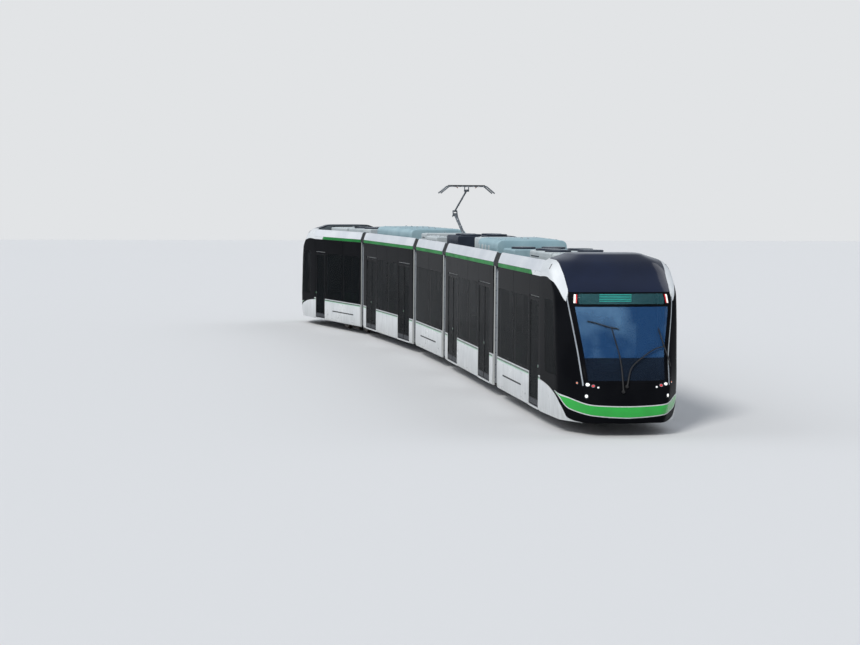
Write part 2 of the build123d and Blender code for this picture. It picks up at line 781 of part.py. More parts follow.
def wheelset(base, axle_x):
    """One turned solid: two wheels with tyres, webs and hubs, on their axle."""
    inner = WHEEL_BACK_Y
    flange = inner + FLANGE_WIDTH
    outer = flange + TREAD_WIDTH
    web_y = (flange + outer) / 2
    tyre_r = WHEEL_R - TYRE_DEPTH
    journal_y = FRAME_Y + FRAME_BEAM / 2
    half = [
        (0, AXLE_R),
        (inner - HUB_INNER_STEP, AXLE_R),
        (inner - HUB_INNER_STEP, HUB_R),
        (web_y - WEB_HALF, HUB_R),
        (web_y - WEB_HALF, tyre_r),
        (inner, tyre_r),
        (inner, WHEEL_R + FLANGE_HEIGHT),
        (inner + FLANGE_WIDTH / 2, WHEEL_R + FLANGE_HEIGHT),
        (flange, WHEEL_R),
        (outer, WHEEL_R),
        (outer, tyre_r),
        (web_y + WEB_HALF, tyre_r),
        (web_y + WEB_HALF, HUB_R),
        (outer + HUB_OUTER_STEP, HUB_R),
        (outer + HUB_OUTER_STEP, JOURNAL_R),
        (journal_y, JOURNAL_R),
    ]
    other = [(-y, r) for y, r in reversed(half[1:])]
    plane = Plane(
        base.from_local_coords(Vector(axle_x, 0, WHEEL_R)), x_dir=base.y_dir, z_dir=base.x_dir
    )
    with BuildPart() as turned:
        with BuildSketch(plane):
            with BuildLine():
                Polyline((-journal_y, 0), *other, *half, (journal_y, 0), close=True)
            make_face()
        revolve(axis=Axis(plane.origin, base.y_dir), revolution_arc=360)
    return turned.part


def bellows(low_base, low_x, high_base, high_x):
    """Bellows over a joint, an upturned U that runs from one portal ring to the next."""
    inner = BELLOWS_HALF - BELLOWS_WALL
    outline = [
        (-BELLOWS_HALF, BELLOWS_FOOT_Z),
        (-BELLOWS_HALF, BELLOWS_TOP_Z),
        (BELLOWS_HALF, BELLOWS_TOP_Z),
        (BELLOWS_HALF, BELLOWS_FOOT_Z),
        (inner, BELLOWS_FOOT_Z),
        (inner, BELLOWS_TOP_Z - BELLOWS_WALL),
        (-inner, BELLOWS_TOP_Z - BELLOWS_WALL),
        (-inner, BELLOWS_FOOT_Z),
    ]
    with BuildPart() as folds:
        for base, x in ((low_base, low_x), (high_base, high_x)):
            with BuildSketch(across(base, x)):
                with BuildLine():
                    Polyline(*outline, close=True)
                make_face()
        loft(ruled=True)
    return folds.part


def roof_gear(section):
    """The boxes of roof equipment of a section, with chamfered tops, on the roof deck."""
    with BuildPart() as gear:
        for low_gap, high_gap, low_y, high_y, top_z, bevel in ROOF_GEAR[section.name]:
            low_x, high_x = section.low_x + low_gap, section.high_x - high_gap
            with BuildSketch(section.base.offset(ROOF_DECK_Z)):
                with Locations(((low_x + high_x) / 2, (low_y + high_y) / 2)):
                    Rectangle(high_x - low_x, high_y - low_y)
            extrude(amount=top_z - ROOF_DECK_Z)
            chamfer(gear.faces(Select.LAST).sort_by(Axis.Z)[-1].edges(), bevel)
    return gear.part


def side_view(y):
    """Sketch plane of the pantograph: sketch x forward, sketch y up, from its pivot."""
    origin = Vector(PANTO_X, y, PANTO_PIVOT_Z)
    return Plane(origin, x_dir=(1, 0, 0), z_dir=(0, -1, 0))


def polar(length, angle):
    return Vector(length * cos(radians(angle)), length * sin(radians(angle)))


PIVOT = Vector(0, 0)
KNUCKLE = polar(LOWER_ARM, 180 - LOWER_ARM_ANGLE)
HEAD = KNUCKLE + polar(UPPER_ARM, UPPER_ARM_ANGLE)
HEEL = KNUCKLE - polar(ROD_HEEL, UPPER_ARM_ANGLE)
LUG_Y = BOSS_HALF + LUG_GAP
LUG_END_Y = LUG_Y + LUG
PIN_END_Y = LUG_END_Y + LUG_GAP
ROD_Y = LUG_END_Y + ROD_SIDE


def bar(start, end, width):
    """Corners of a straight bar of the given width from one point to another."""
    way = (end - start).normalized() * (width / 2)
    side = Vector(-way.Y, way.X)
    return start + side, end + side, end - side, start - side


def tube_plane(start, end, y=0.0):
    """Plane square to a pantograph tube at its start, looking along it."""
    here = Vector(PANTO_X + start.X, y, PANTO_PIVOT_Z + start.Y)
    way = Vector(end.X - start.X, 0, end.Y - start.Y)
    return Plane(here, x_dir=(0, 1, 0), z_dir=way)


def pantograph_base():
    frame_foot = BASE_FRAME_Z - PANTO_PIVOT_Z
    frame_top = frame_foot + BASE_TUBE
    with BuildPart() as base:
        with BuildSketch(Plane.XY.offset(BASE_FRAME_Z)):
            with Locations((PANTO_X, 0)):
                Rectangle(2 * BASE_HALF_LENGTH, 2 * BASE_HALF_WIDTH)
                Rectangle(
                    2 * (BASE_HALF_LENGTH - BASE_TUBE),
                    2 * (BASE_HALF_WIDTH - BASE_TUBE),
                    mode=Mode.SUBTRACT,
                )
        extrude(amount=BASE_TUBE)
        for low_y in (LUG_Y, -LUG_END_Y):
            with BuildSketch(side_view(low_y + LUG)):
                with BuildLine():
                    Polyline(
                        (-BASE_HALF_LENGTH, frame_foot),
                        (BASE_HALF_LENGTH, frame_foot),
                        (BASE_HALF_LENGTH, frame_top),
                        (1.5 * BOSS_R, frame_top),
                        (0.7 * BOSS_R, 0.8 * BOSS_R),
                        (-0.7 * BOSS_R, 0.8 * BOSS_R),
                        (ROD_FOOT[0] + ROD_EYE_R, ROD_FOOT[1] + ROD_EYE_R),
                        (ROD_FOOT[0] - ROD_EYE_R, ROD_FOOT[1] + ROD_EYE_R),
                        (ROD_FOOT[0] - 2 * ROD_EYE_R, frame_top),
                        (-BASE_HALF_LENGTH, frame_top),
                        close=True,
                    )
                make_face()
            extrude(amount=LUG)
        with BuildSketch(side_view(LUG_Y)):
            Circle(PIN_R)
        extrude(amount=2 * LUG_Y)
        with BuildSketch(side_view(ROD_Y + 2 * ROD_R + LUG_GAP)):
            with Locations(ROD_FOOT):
                Circle(ROD_PIN_R)
        extrude(amount=ROD_Y + 2 * ROD_R + LUG_GAP - LUG_END_Y)
        with BuildSketch(Plane.XY.offset(ROOF_DECK_Z)):
            with Locations((PANTO_X, 0)):
                with GridLocations(
                    2 * BASE_HALF_LENGTH - BASE_TUBE, 2 * BASE_HALF_WIDTH - BASE_TUBE, 2, 2
                ):
                    Circle(INSULATOR_R)
        extrude(amount=BASE_FRAME_Z - ROOF_DECK_Z)
    return base.part


def lower_arm():
    with BuildPart() as arm:
        with BuildSketch(tube_plane(PIVOT, KNUCKLE)):
            Circle(LOWER_ARM_R)
        extrude(amount=LOWER_ARM)
        with BuildSketch(side_view(BOSS_HALF)):
            Circle(BOSS_R)
            with Locations(KNUCKLE):
                Circle(BOSS_R)
        extrude(amount=2 * BOSS_HALF)
        with BuildSketch(side_view(PIN_END_Y)):
            with Locations(KNUCKLE):
                Circle(PIN_R)
        extrude(amount=2 * PIN_END_Y)
        with BuildSketch(side_view(BOSS_HALF)):
            Circle(PIN_R + PIN_CLEARANCE)
        extrude(amount=2 * BOSS_HALF, mode=Mode.SUBTRACT)
    return arm.part


def upper_arm():
    rise = polar(UPPER_ARM_RISE, UPPER_ARM_ANGLE + 90)
    tube_foot = KNUCKLE + rise
    with BuildPart() as arm:
        with BuildSketch(tube_plane(tube_foot, HEAD)):
            Circle(UPPER_ARM_R)
        extrude(amount=(HEAD - tube_foot).length)
        with BuildSketch(side_view(LUG_END_Y)):
            with Locations(tube_foot):
                Circle(UPPER_ARM_R)
        extrude(amount=2 * LUG_END_Y)
        for low_y in (LUG_Y, -LUG_END_Y):
            with BuildSketch(side_view(low_y + LUG)):
                for end, width in ((tube_foot, 1.6 * BOSS_R), (HEEL, 2 * ROD_EYE_R)):
                    with BuildLine():
                        Polyline(*bar(KNUCKLE, end, width), close=True)
                    make_face()
                with Locations(KNUCKLE):
                    Circle(BOSS_R)
                    Circle(PIN_R + PIN_CLEARANCE, mode=Mode.SUBTRACT)
            extrude(amount=LUG)
        with BuildSketch(side_view(BOSS_HALF)):
            with Locations(HEAD):
                Circle(HEAD_BOSS_R)
        extrude(amount=2 * BOSS_HALF)
        with BuildSketch(side_view(PIN_END_Y)):
            with Locations(HEAD):
                Circle(PIN_R)
        extrude(amount=2 * PIN_END_Y)
    return arm.part


def control_rod():
    foot = Vector(*ROD_FOOT)
    with BuildPart() as rod:
        with BuildSketch(tube_plane(foot, HEEL, ROD_Y + ROD_R)):
            Circle(ROD_R)
        extrude(amount=(HEEL - foot).length)
        with BuildSketch(side_view(ROD_Y + 2 * ROD_R)):
            with Locations(foot, HEEL):
                Circle(ROD_EYE_R)
        extrude(amount=2 * ROD_R)
        with BuildSketch(side_view(ROD_Y + 2 * ROD_R)):
            with Locations(foot, HEEL):
                Circle(ROD_PIN_R + PIN_CLEARANCE)
        extrude(amount=2 * ROD_R, mode=Mode.SUBTRACT)
    return rod.part


def pantograph_head():
    centre = Vector(PANTO_X + HEAD.X, 0, PANTO_PIVOT_Z + HEAD.Y)
    strip_z = centre.Z + HEAD_RISE
    top = HEAD + Vector(0, HEAD_RISE)
    reach = Vector(STRIP_SPACING / 2, 0)
    with BuildPart() as head:
        for low_y in (LUG_Y, -LUG_END_Y):
            with BuildSketch(side_view(low_y + LUG)):
                with BuildLine():
                    Polyline(*bar(HEAD, top, 1.6 * HEAD_BOSS_R), close=True)
                make_face()
                with BuildLine():
                    Polyline(*bar(top - reach, top + reach, 2 * STRIP_R), close=True)
                make_face()
                with Locations(HEAD):
                    Circle(HEAD_BOSS_R)
                    Circle(PIN_R + PIN_CLEARANCE, mode=Mode.SUBTRACT)
            extrude(amount=LUG)
        for side in (-1, 1):
            strip_x = centre.X + side * STRIP_SPACING / 2
            with BuildLine() as bow:
                FilletPolyline(
                    (strip_x, -STRIP_HALF - HORN_REACH, strip_z - HORN_DROP),
                    (strip_x, -STRIP_HALF, strip_z),
                    (strip_x, STRIP_HALF, strip_z),
                    (strip_x, STRIP_HALF + HORN_REACH, strip_z - HORN_DROP),
                    radius=HORN_REACH / 2,
                )
            with BuildSketch(Plane(bow.line @ 0, z_dir=bow.line % 0)):
                Circle(STRIP_R)
            sweep(path=bow.line)
    return head.part


for section in (*CABS, *SALOONS, MIDDLE):
    name, base = section.name, section.base
    keep(name + "_side_walls", side_walls(section))
    keep(name + "_roof_gear", roof_gear(section))
    keep(name + "_roof", roof_shell(section))
    if section in SALOONS:
        keep(name + "_floor", suspended_floor(section))
        keep(name + "_seats", seats_and_poles(section, None))
    else:
        bogie_x = CAB_BOGIE_X if section in CABS else 0.0
        keep(name + "_floor", bogied_floor(section, bogie_x))
        keep(name + "_seats", seats_and_poles(section, bogie_x))
        keep(name + "_bogie", bogie_frame(base, bogie_x))
        for end, side in (("inner", -1), ("outer", 1)):
            keep(f"{name}_{end}_wheelset", wheelset(base, bogie_x + side * WHEELBASE / 2))
    if section is not MIDDLE:
        keep(name + "_doors", door_leaves(section))

for section in CABS:
    name, base = section.name, section.base
    shell = nose_shell(base)
    screen, side_glass = windscreen_cut(base), cab_glass_cut(base)
    with BuildPart() as nose:
        add(shell)
        add(screen, mode=Mode.SUBTRACT)
        add(side_glass, mode=Mode.SUBTRACT)
    keep(name + "_nose", nose.part)
    with BuildPart() as windscreen:
        add(shell)
        add(screen, mode=Mode.INTERSECT)
    keep(name + "_windscreen", windscreen.part)
    with BuildPart() as windows:
        add(shell)
        add(side_glass, mode=Mode.INTERSECT)
        add(glass_panes(section))
    keep(name + "_windows", windows.part)
    keep(name + "_desk_and_seat", cab_interior(base))
for section in (*SALOONS, MIDDLE):
    keep(section.name + "_windows", glass_panes(section))

front_cab, rear_cab = CABS
front_saloon, rear_saloon = SALOONS
# Joints: name, then the section behind and its end, then the section ahead and its end
JOINTS = (
    ("rear_cab", rear_cab.base, rear_cab.low_x, rear_saloon.base, rear_saloon.low_x),
    ("rear", rear_saloon.base, rear_saloon.high_x, MIDDLE.base, MIDDLE.low_x),
    ("front", MIDDLE.base, MIDDLE.high_x, front_saloon.base, front_saloon.low_x),
    ("front_cab", front_saloon.base, front_saloon.high_x, front_cab.base, front_cab.low_x),
)
for name, *ends in JOINTS:
    keep(name + "_bellows", bellows(*ends))

keep("pantograph_base", pantograph_base())
keep("pantograph_lower_arm", lower_arm())
keep("pantograph_upper_arm", upper_arm())
keep("pantograph_head", pantograph_head())
keep("pantograph_control_rod", control_rod())

boxes = [piece.bounding_box() for piece in pieces.values()]
# The middle of the whole box, to a tenth of a millimetre
centre_x = round((min(box.min.X for box in boxes) + max(box.max.X for box in boxes)) / 2, 1)
centre_y = round((min(box.min.Y for box in boxes) + max(box.max.Y for box in boxes)) / 2, 1)
foot_z = min(box.min.Z for box in boxes)
ORIGIN_SHIFT = Vector(-centre_x, -centre_y, -foot_z)

os.makedirs("parts", exist_ok=True)
for name, piece in pieces.items():
    placed = piece.moved(Location(ORIGIN_SHIFT))
    placed.label = name
    export_step(placed, f"parts/{name}.step")
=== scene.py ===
"""Looks of an articulated low-floor tram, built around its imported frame. Metres."""

import json
from collections import namedtuple
from math import cos, pi, radians, sin

import bpy
import numpy as np
from mathutils import Matrix, Vector
from mathutils.geometry import tessellate_polygon


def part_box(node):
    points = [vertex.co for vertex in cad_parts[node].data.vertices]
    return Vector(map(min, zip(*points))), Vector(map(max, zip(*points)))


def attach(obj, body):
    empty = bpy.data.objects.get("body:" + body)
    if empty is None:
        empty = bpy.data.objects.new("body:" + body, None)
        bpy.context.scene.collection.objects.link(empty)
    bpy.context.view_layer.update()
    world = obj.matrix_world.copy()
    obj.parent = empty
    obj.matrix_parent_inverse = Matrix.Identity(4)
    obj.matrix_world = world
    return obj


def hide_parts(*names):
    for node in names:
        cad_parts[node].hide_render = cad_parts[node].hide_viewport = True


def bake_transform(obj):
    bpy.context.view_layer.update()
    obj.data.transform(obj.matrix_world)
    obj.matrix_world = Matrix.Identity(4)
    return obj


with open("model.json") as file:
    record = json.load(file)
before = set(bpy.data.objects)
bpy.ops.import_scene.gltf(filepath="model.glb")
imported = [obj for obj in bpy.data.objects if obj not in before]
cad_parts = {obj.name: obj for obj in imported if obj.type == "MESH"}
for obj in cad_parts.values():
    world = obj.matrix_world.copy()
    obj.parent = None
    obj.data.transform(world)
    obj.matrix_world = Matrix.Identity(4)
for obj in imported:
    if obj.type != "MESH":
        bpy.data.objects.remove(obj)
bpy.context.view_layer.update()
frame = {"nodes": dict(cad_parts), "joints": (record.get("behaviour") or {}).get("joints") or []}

# ---------------------------------------------------------------- sections and shared measures
RAIL = 0.025                                    # top of the rail over the ground
SEAM_X = 4.77                                   # where a cab's nose begins
LINING_Y, WALL_Y, SKIN_Y = 1.268, 1.299, 1.3245  # planes of a side wall, from the inside out
STRIPE_Y = 1.3285
CEILING, DECK = 2.690, 3.158
WHEEL_Z, HALF_BASE, WHEEL_BOX = 0.30, 0.9, 1.28  # the last is half a wheel box's length
PANTOGRAPH_X = -0.95
joint_at = {j["name"]: Vector(j["pos_m"]) for j in frame["joints"]}


def placed(origin, ahead):
    """Matrix of a section's own frame: x ahead, z up from the rail head."""
    x = Vector((ahead.x, ahead.y, 0)).normalized()
    y = Vector((-x.y, x.x, 0))
    rows = [(x.x, y.x, 0, origin.x), (x.y, y.y, 0, origin.y), (0, 0, 1, RAIL), (0, 0, 0, 1)]
    return Matrix(rows)


def cab_place(name):
    """A cab's frame, from its hinge and its two axles."""
    ahead = joint_at[name + "_outer_wheels"] - joint_at[name + "_inner_wheels"]
    return placed(joint_at[name + "_joint"], ahead)


def car_place(low_joint, high_joint):
    """The frame of a section that hangs between two hinges."""
    low, high = joint_at[low_joint], joint_at[high_joint]
    return placed((low + high) / 2, high - low)


# low and high are the ends along x, bogie its middle, skirt_cuts the seams of the skirt
Section = namedtuple("Section", "name place low high bogie doors windows skirt_cuts")
CAB_PLAN = (0.29, SEAM_X, 1.95, [(3.69, 4.61)], [(0.40, 1.935), (2.045, 3.58)], (1.0, 2.92))
SALOON_PLAN = (-3.285, 3.285, None, [(-2.905, -1.455), (1.455, 2.905)],
               [(-1.345, -0.055), (0.055, 1.345)], (0.0,))
MIDDLE_PLAN = (-1.935, 1.935, 0.0, [], [(-1.825, -0.055), (0.055, 1.825)], (-1.28, 1.28))
FRONT_CAB = Section("front_cab", cab_place("front_cab"), *CAB_PLAN)
REAR_CAB = Section("rear_cab", cab_place("rear_cab"), *CAB_PLAN)
FRONT_SALOON = Section("front_saloon", car_place("front_joint", "front_cab_joint"), *SALOON_PLAN)
REAR_SALOON = Section("rear_saloon", car_place("rear_cab_joint", "rear_joint"), *SALOON_PLAN)
MIDDLE = Section("middle_car", car_place("rear_joint", "front_joint"), *MIDDLE_PLAN)
CABS, SALOONS = (FRONT_CAB, REAR_CAB), (FRONT_SALOON, REAR_SALOON)
SECTIONS = CABS + SALOONS + (MIDDLE,)


# ---------------------------------------------------------------- materials
def srgb(r, g, b):
    """Colour as it shows on screen, 0 to 255, to the linear values of a shader socket."""
    return tuple((c / 255 / 12.92 if c <= 10 else ((c / 255 + 0.055) / 1.055) ** 2.4)
                 for c in (r, g, b)) + (1.0,)


def shader_node(tree, kind, **constants):
    """A new shader node with constants on the inputs named, their spaces as underscores."""
    made = tree.nodes.new("ShaderNode" + kind)
    for socket, value in constants.items():
        made.inputs[socket.replace("_", " ")].default_value = value
    return made


MATERIALS = {}


def material(name, colour, other, rough, scale, bump, bump_scale=60, metal=0.0, coat=0.0,
             ior=1.45, shine=0.5, alpha=1.0, stretch=(1, 1, 1), contrast=(0.35, 0.65),
             dirt=None, glow=None):
    """Paint or metal with uneven colour, uneven gloss and a fine surface.

    scale is that of the uneven colour, bump and bump_scale make the fine surface;
    dirt (colour, height where it is full, height where it ends, strength) climbs from below;
    glow is (colour, strength).
    """
    m = MATERIALS[name] = bpy.data.materials.new(name)
    m.use_nodes = True
    tree = m.node_tree
    link = tree.links.new
    spot = shader_node(tree, "TexCoord").outputs["Object"]
    mapping = shader_node(tree, "Mapping", Scale=stretch)
    broad = shader_node(tree, "TexNoise", Scale=scale, Detail=6)
    ramp = shader_node(tree, "ValToRGB")
    low, high = ramp.color_ramp.elements
    low.position, high.position = contrast
    low.color, high.color = srgb(*colour), srgb(*other)
    link(spot, mapping.inputs["Vector"])
    link(mapping.outputs["Vector"], broad.inputs["Vector"])
    link(broad.outputs["Fac"], ramp.inputs["Fac"])
    paint = ramp.outputs["Color"]
    if dirt:
        dirt_colour, z_full, z_clean, most = dirt
        split = shader_node(tree, "SeparateXYZ")
        height = shader_node(tree, "MapRange", From_Min=z_clean, From_Max=z_full, To_Max=most)
        runs = shader_node(tree, "Mapping", Scale=(9, 9, 1.2))
        streaks = shader_node(tree, "TexNoise", Scale=1.6, Detail=5)
        amount = shader_node(tree, "Math")
        amount.operation = "MULTIPLY"
        mix = shader_node(tree, "Mix")
        mix.data_type = "RGBA"
        mix.inputs[7].default_value = srgb(*dirt_colour)
        link(spot, split.inputs[0])
        link(spot, runs.inputs["Vector"])
        link(split.outputs["Z"], height.inputs["Value"])
        link(runs.outputs["Vector"], streaks.inputs["Vector"])
        link(height.outputs["Result"], amount.inputs[0])
        link(streaks.outputs["Fac"], amount.inputs[1])
        link(amount.outputs["Value"], mix.inputs["Factor"])
        link(paint, mix.inputs[6])
        paint = mix.outputs[2]
    gloss = shader_node(tree, "MapRange", To_Min=max(rough - 0.06, 0.02), To_Max=rough + 0.08)
    fine = shader_node(tree, "TexNoise", Scale=bump_scale, Detail=3)
    relief = shader_node(tree, "Bump", Strength=bump, Distance=0.01)
    link(broad.outputs["Fac"], gloss.inputs["Value"])
    link(mapping.outputs["Vector"], fine.inputs["Vector"])
    link(fine.outputs["Fac"], relief.inputs["Height"])
    shader = tree.nodes["Principled BSDF"]
    link(paint, shader.inputs["Base Color"])
    link(gloss.outputs["Result"], shader.inputs["Roughness"])
    link(relief.outputs["Normal"], shader.inputs["Normal"])
    for socket, value in (("Metallic", metal), ("IOR", ior), ("Specular IOR Level", shine),
                          ("Coat Weight", coat), ("Coat Roughness", 0.08), ("Alpha", alpha)):
        shader.inputs[socket].default_value = value
    if glow:
        shader.inputs["Emission Color"].default_value = srgb(*glow[0])
        shader.inputs["Emission Strength"].default_value = glow[1]


GRIME = (96, 92, 84)
material("white_paint", (226, 230, 232), (214, 219, 222), 0.28, 1.3, 0.015, 25, coat=0.3,
         dirt=(GRIME, 0.1, 1.6, 0.75))
material("roof_white", (222, 226, 230), (206, 211, 217), 0.34, 1.1, 0.02, 20, coat=0.2)
material("green_paint", (22, 132, 56), (16, 112, 46), 0.3, 1.5, 0.015, 25, ior=1.12)
material("bright_green", (24, 172, 58), (18, 152, 50), 0.24, 1.5, 0.015, 25, coat=0.4)
material("deep_green", (14, 74, 42), (10, 62, 36), 0.3, 1.5, 0.02, coat=0.3)
material("mint_paint", (150, 214, 176), (136, 200, 162), 0.3, 1.5, 0.02)
material("black_gloss", (14, 15, 18), (20, 21, 24), 0.12, 1.2, 0.01, 12, ior=1.04)
material("navy_cap", (16, 24, 44), (20, 30, 54), 0.14, 1.0, 0.012, 14, coat=0.3, ior=1.3)
material("side_glass", (12, 16, 19), (17, 22, 25), 0.06, 0.9, 0.008, 6, ior=1.04, alpha=0.68)
# Windscreen glass: partly its own blue tint, partly a painted sky reflection in its blue and pale
# blue patches.
material("screen_glass", (36, 76, 122), (104, 146, 184), 0.05, 0.8, 0.008, 5, ior=1.3, alpha=0.62,
         contrast=(0.42, 0.68))
# Lower windscreen glass: darker than the rest, as painted shade of the desk behind it.
material("screen_low", (24, 33, 46), (32, 44, 60), 0.06, 0.9, 0.008, 5, ior=1.2, shine=0.3,
         alpha=0.7)
material("sign_glass", (52, 96, 104), (66, 116, 122), 0.08, 1.5, 0.01, ior=1.3, alpha=0.35)
material("rubber", (26, 26, 27), (34, 34, 35), 0.62, 8, 0.2, 180)
material("bellows_fabric", (150, 155, 160), (132, 137, 142), 0.66, 7, 0.25, 320,
         dirt=(GRIME, 0.2, 2.2, 0.7))
material("dark_fabric", (62, 65, 70), (48, 51, 56), 0.7, 6, 0.25, 300)
material("lining", (196, 198, 196), (184, 187, 186), 0.5, 2, 0.1, 220)
material("ceiling", (224, 225, 222), (214, 216, 213), 0.55, 2, 0.06, 200)
material("light_lens", (240, 242, 238), (232, 234, 230), 0.3, 9, 0.1, 400,
         glow=((255, 250, 238), 0.8))
material("roof_box_paint", (166, 194, 202), (148, 178, 188), 0.45, 1.6, 0.05, 40, ior=1.25,
         dirt=((92, 104, 108), 3.1, 3.9, 0.5))
material("roof_box_light", (206, 214, 216), (190, 200, 204), 0.45, 1.6, 0.05, 40, ior=1.25,
         dirt=((112, 112, 106), 3.1, 3.8, 0.5))
material("roof_grey", (110, 118, 124), (92, 100, 106), 0.7, 2.4, 0.35, 260)
material("equipment_navy", (40, 50, 66), (30, 38, 52), 0.45, 2, 0.08, 60)
material("underframe", (52, 54, 56), (40, 41, 43), 0.6, 5, 0.2, 90,
         dirt=((98, 78, 60), 0.0, 0.7, 0.8))
material("steel", (172, 174, 176), (142, 140, 138), 0.3, 9, 0.06, 120, metal=1.0)
material("tyre_steel", (98, 94, 90), (74, 68, 62), 0.45, 9, 0.12, 120, metal=0.5)
material("wheel_paint", (66, 62, 58), (92, 74, 58), 0.55, 7, 0.2, 80, metal=0.3)
material("alu", (186, 190, 194), (168, 172, 178), 0.34, 12, 0.05, 160, metal=0.9,
         stretch=(1, 1, 8))
material("silver_trim", (198, 204, 208), (180, 186, 192), 0.25, 5, 0.02, metal=0.7)
material("pole_steel", (212, 214, 214), (196, 198, 198), 0.2, 20, 0.03, 200, metal=1.0)
material("seat_shell", (40, 62, 84), (34, 54, 74), 0.42, 5, 0.15, 260)
material("seat_fabric", (38, 120, 66), (30, 84, 60), 0.85, 26, 0.5, 420, contrast=(0.46, 0.54))
material("vinyl_floor", (96, 100, 104), (78, 82, 86), 0.55, 160, 0.1, 300, contrast=(0.4, 0.6))
material("cab_trim", (54, 57, 62), (44, 47, 52), 0.6, 6, 0.3, 300)
material("desk_top", (34, 36, 40), (28, 30, 33), 0.5, 6, 0.25, 340)
material("led_board", (10, 14, 16), (14, 20, 22), 0.4, 30, 0.1)
material("led_teal", (60, 230, 206), (40, 200, 184), 0.4, 30, 0.05, glow=((40, 226, 200), 1.2))
material("lens_white", (244, 244, 240), (226, 228, 226), 0.12, 40, 0.4, 260,
         glow=((255, 250, 240), 0.6))
material("lens_red", (208, 26, 34), (176, 16, 26), 0.12, 40, 0.4, 260, glow=((230, 20, 30), 0.3))
material("lens_orange", (238, 122, 30), (214, 98, 20), 0.12, 40, 0.4, 260,
         glow=((240, 110, 20), 0.2))
material("ceramic", (120, 62, 44), (104, 52, 38), 0.2, 8, 0.03, coat=0.4)
material("carbon", (30, 31, 33), (42, 43, 45), 0.5, 14, 0.2, 200)
material("copper", (176, 106, 66), (150, 92, 60), 0.4, 30, 0.4, 500, metal=0.9)
material("pantograph_grey", (120, 126, 132), (98, 104, 110), 0.42, 6, 0.08, 100, metal=0.5)
material("marker_orange", (226, 110, 34), (206, 96, 28), 0.4, 8, 0.05)


# ---------------------------------------------------------------- shapes
def turned(k, n, r):
    """Point k of n even steps round a circle of radius r."""
    return r * cos(2 * pi * k / n), r * sin(2 * pi * k / n)


def circle(n, r):
    """n points round a circle of radius r."""
    return [turned(k, n, r) for k in range(n)]


def coil(steps, per_turn, r):
    """Points of a coil: the share of its length, then both distances from its axis."""
    return [(k / steps, *turned(k, per_turn, r)) for k in range(steps + 1)]


def area(p):
    """Area of a closed 2-D outline, positive when it runs anticlockwise."""
    q = np.roll(p, -1, 0)
    return 0.5 * float((p[:, 0] * q[:, 1] - q[:, 0] * p[:, 1]).sum())


def ccw(points):
    """The outline as an array that runs anticlockwise."""
    p = np.array(points, float)
    return p if area(p) > 0 else p[::-1]


def loop_normals(p):
    """Outward normals of a closed 2-D outline that runs anticlockwise."""
    d = np.roll(p, -1, 0) - p
    d /= np.maximum(np.linalg.norm(d, axis=1, keepdims=True), 1e-9)
    n = np.stack([d[:, 1], -d[:, 0]], 1)
    m = n + np.roll(n, 1, 0)
    return m / np.maximum((m * n).sum(1, keepdims=True), 0.35)


def grid_normals(grid):
    """Unit normals of a grid of surface points."""
    normal = np.cross(np.gradient(grid, axis=1), np.gradient(grid, axis=0))
    return normal / np.maximum(np.linalg.norm(normal, axis=2, keepdims=True), 1e-9)


def rounded(x0, x1, z0, z1, r=0.0, n=4):
    """A rectangle with rounded corners, anticlockwise."""
    if r <= 0:
        return np.array([(x0, z0), (x1, z0), (x1, z1), (x0, z1)], float)
    corners = ((x1 - r, z0 + r, -90), (x1 - r, z1 - r, 0), (x0 + r, z1 - r, 90),
               (x0 + r, z0 + r, 180))
    return np.array([(cx + r * cos(radians(a + 90 * k / n)), cz + r * sin(radians(a + 90 * k / n)))
                     for cx, cz, a in corners for k in range(n + 1)])


AXES = {"x": (1, 2, 0), "y": (0, 2, 1), "z": (0, 1, 2)}


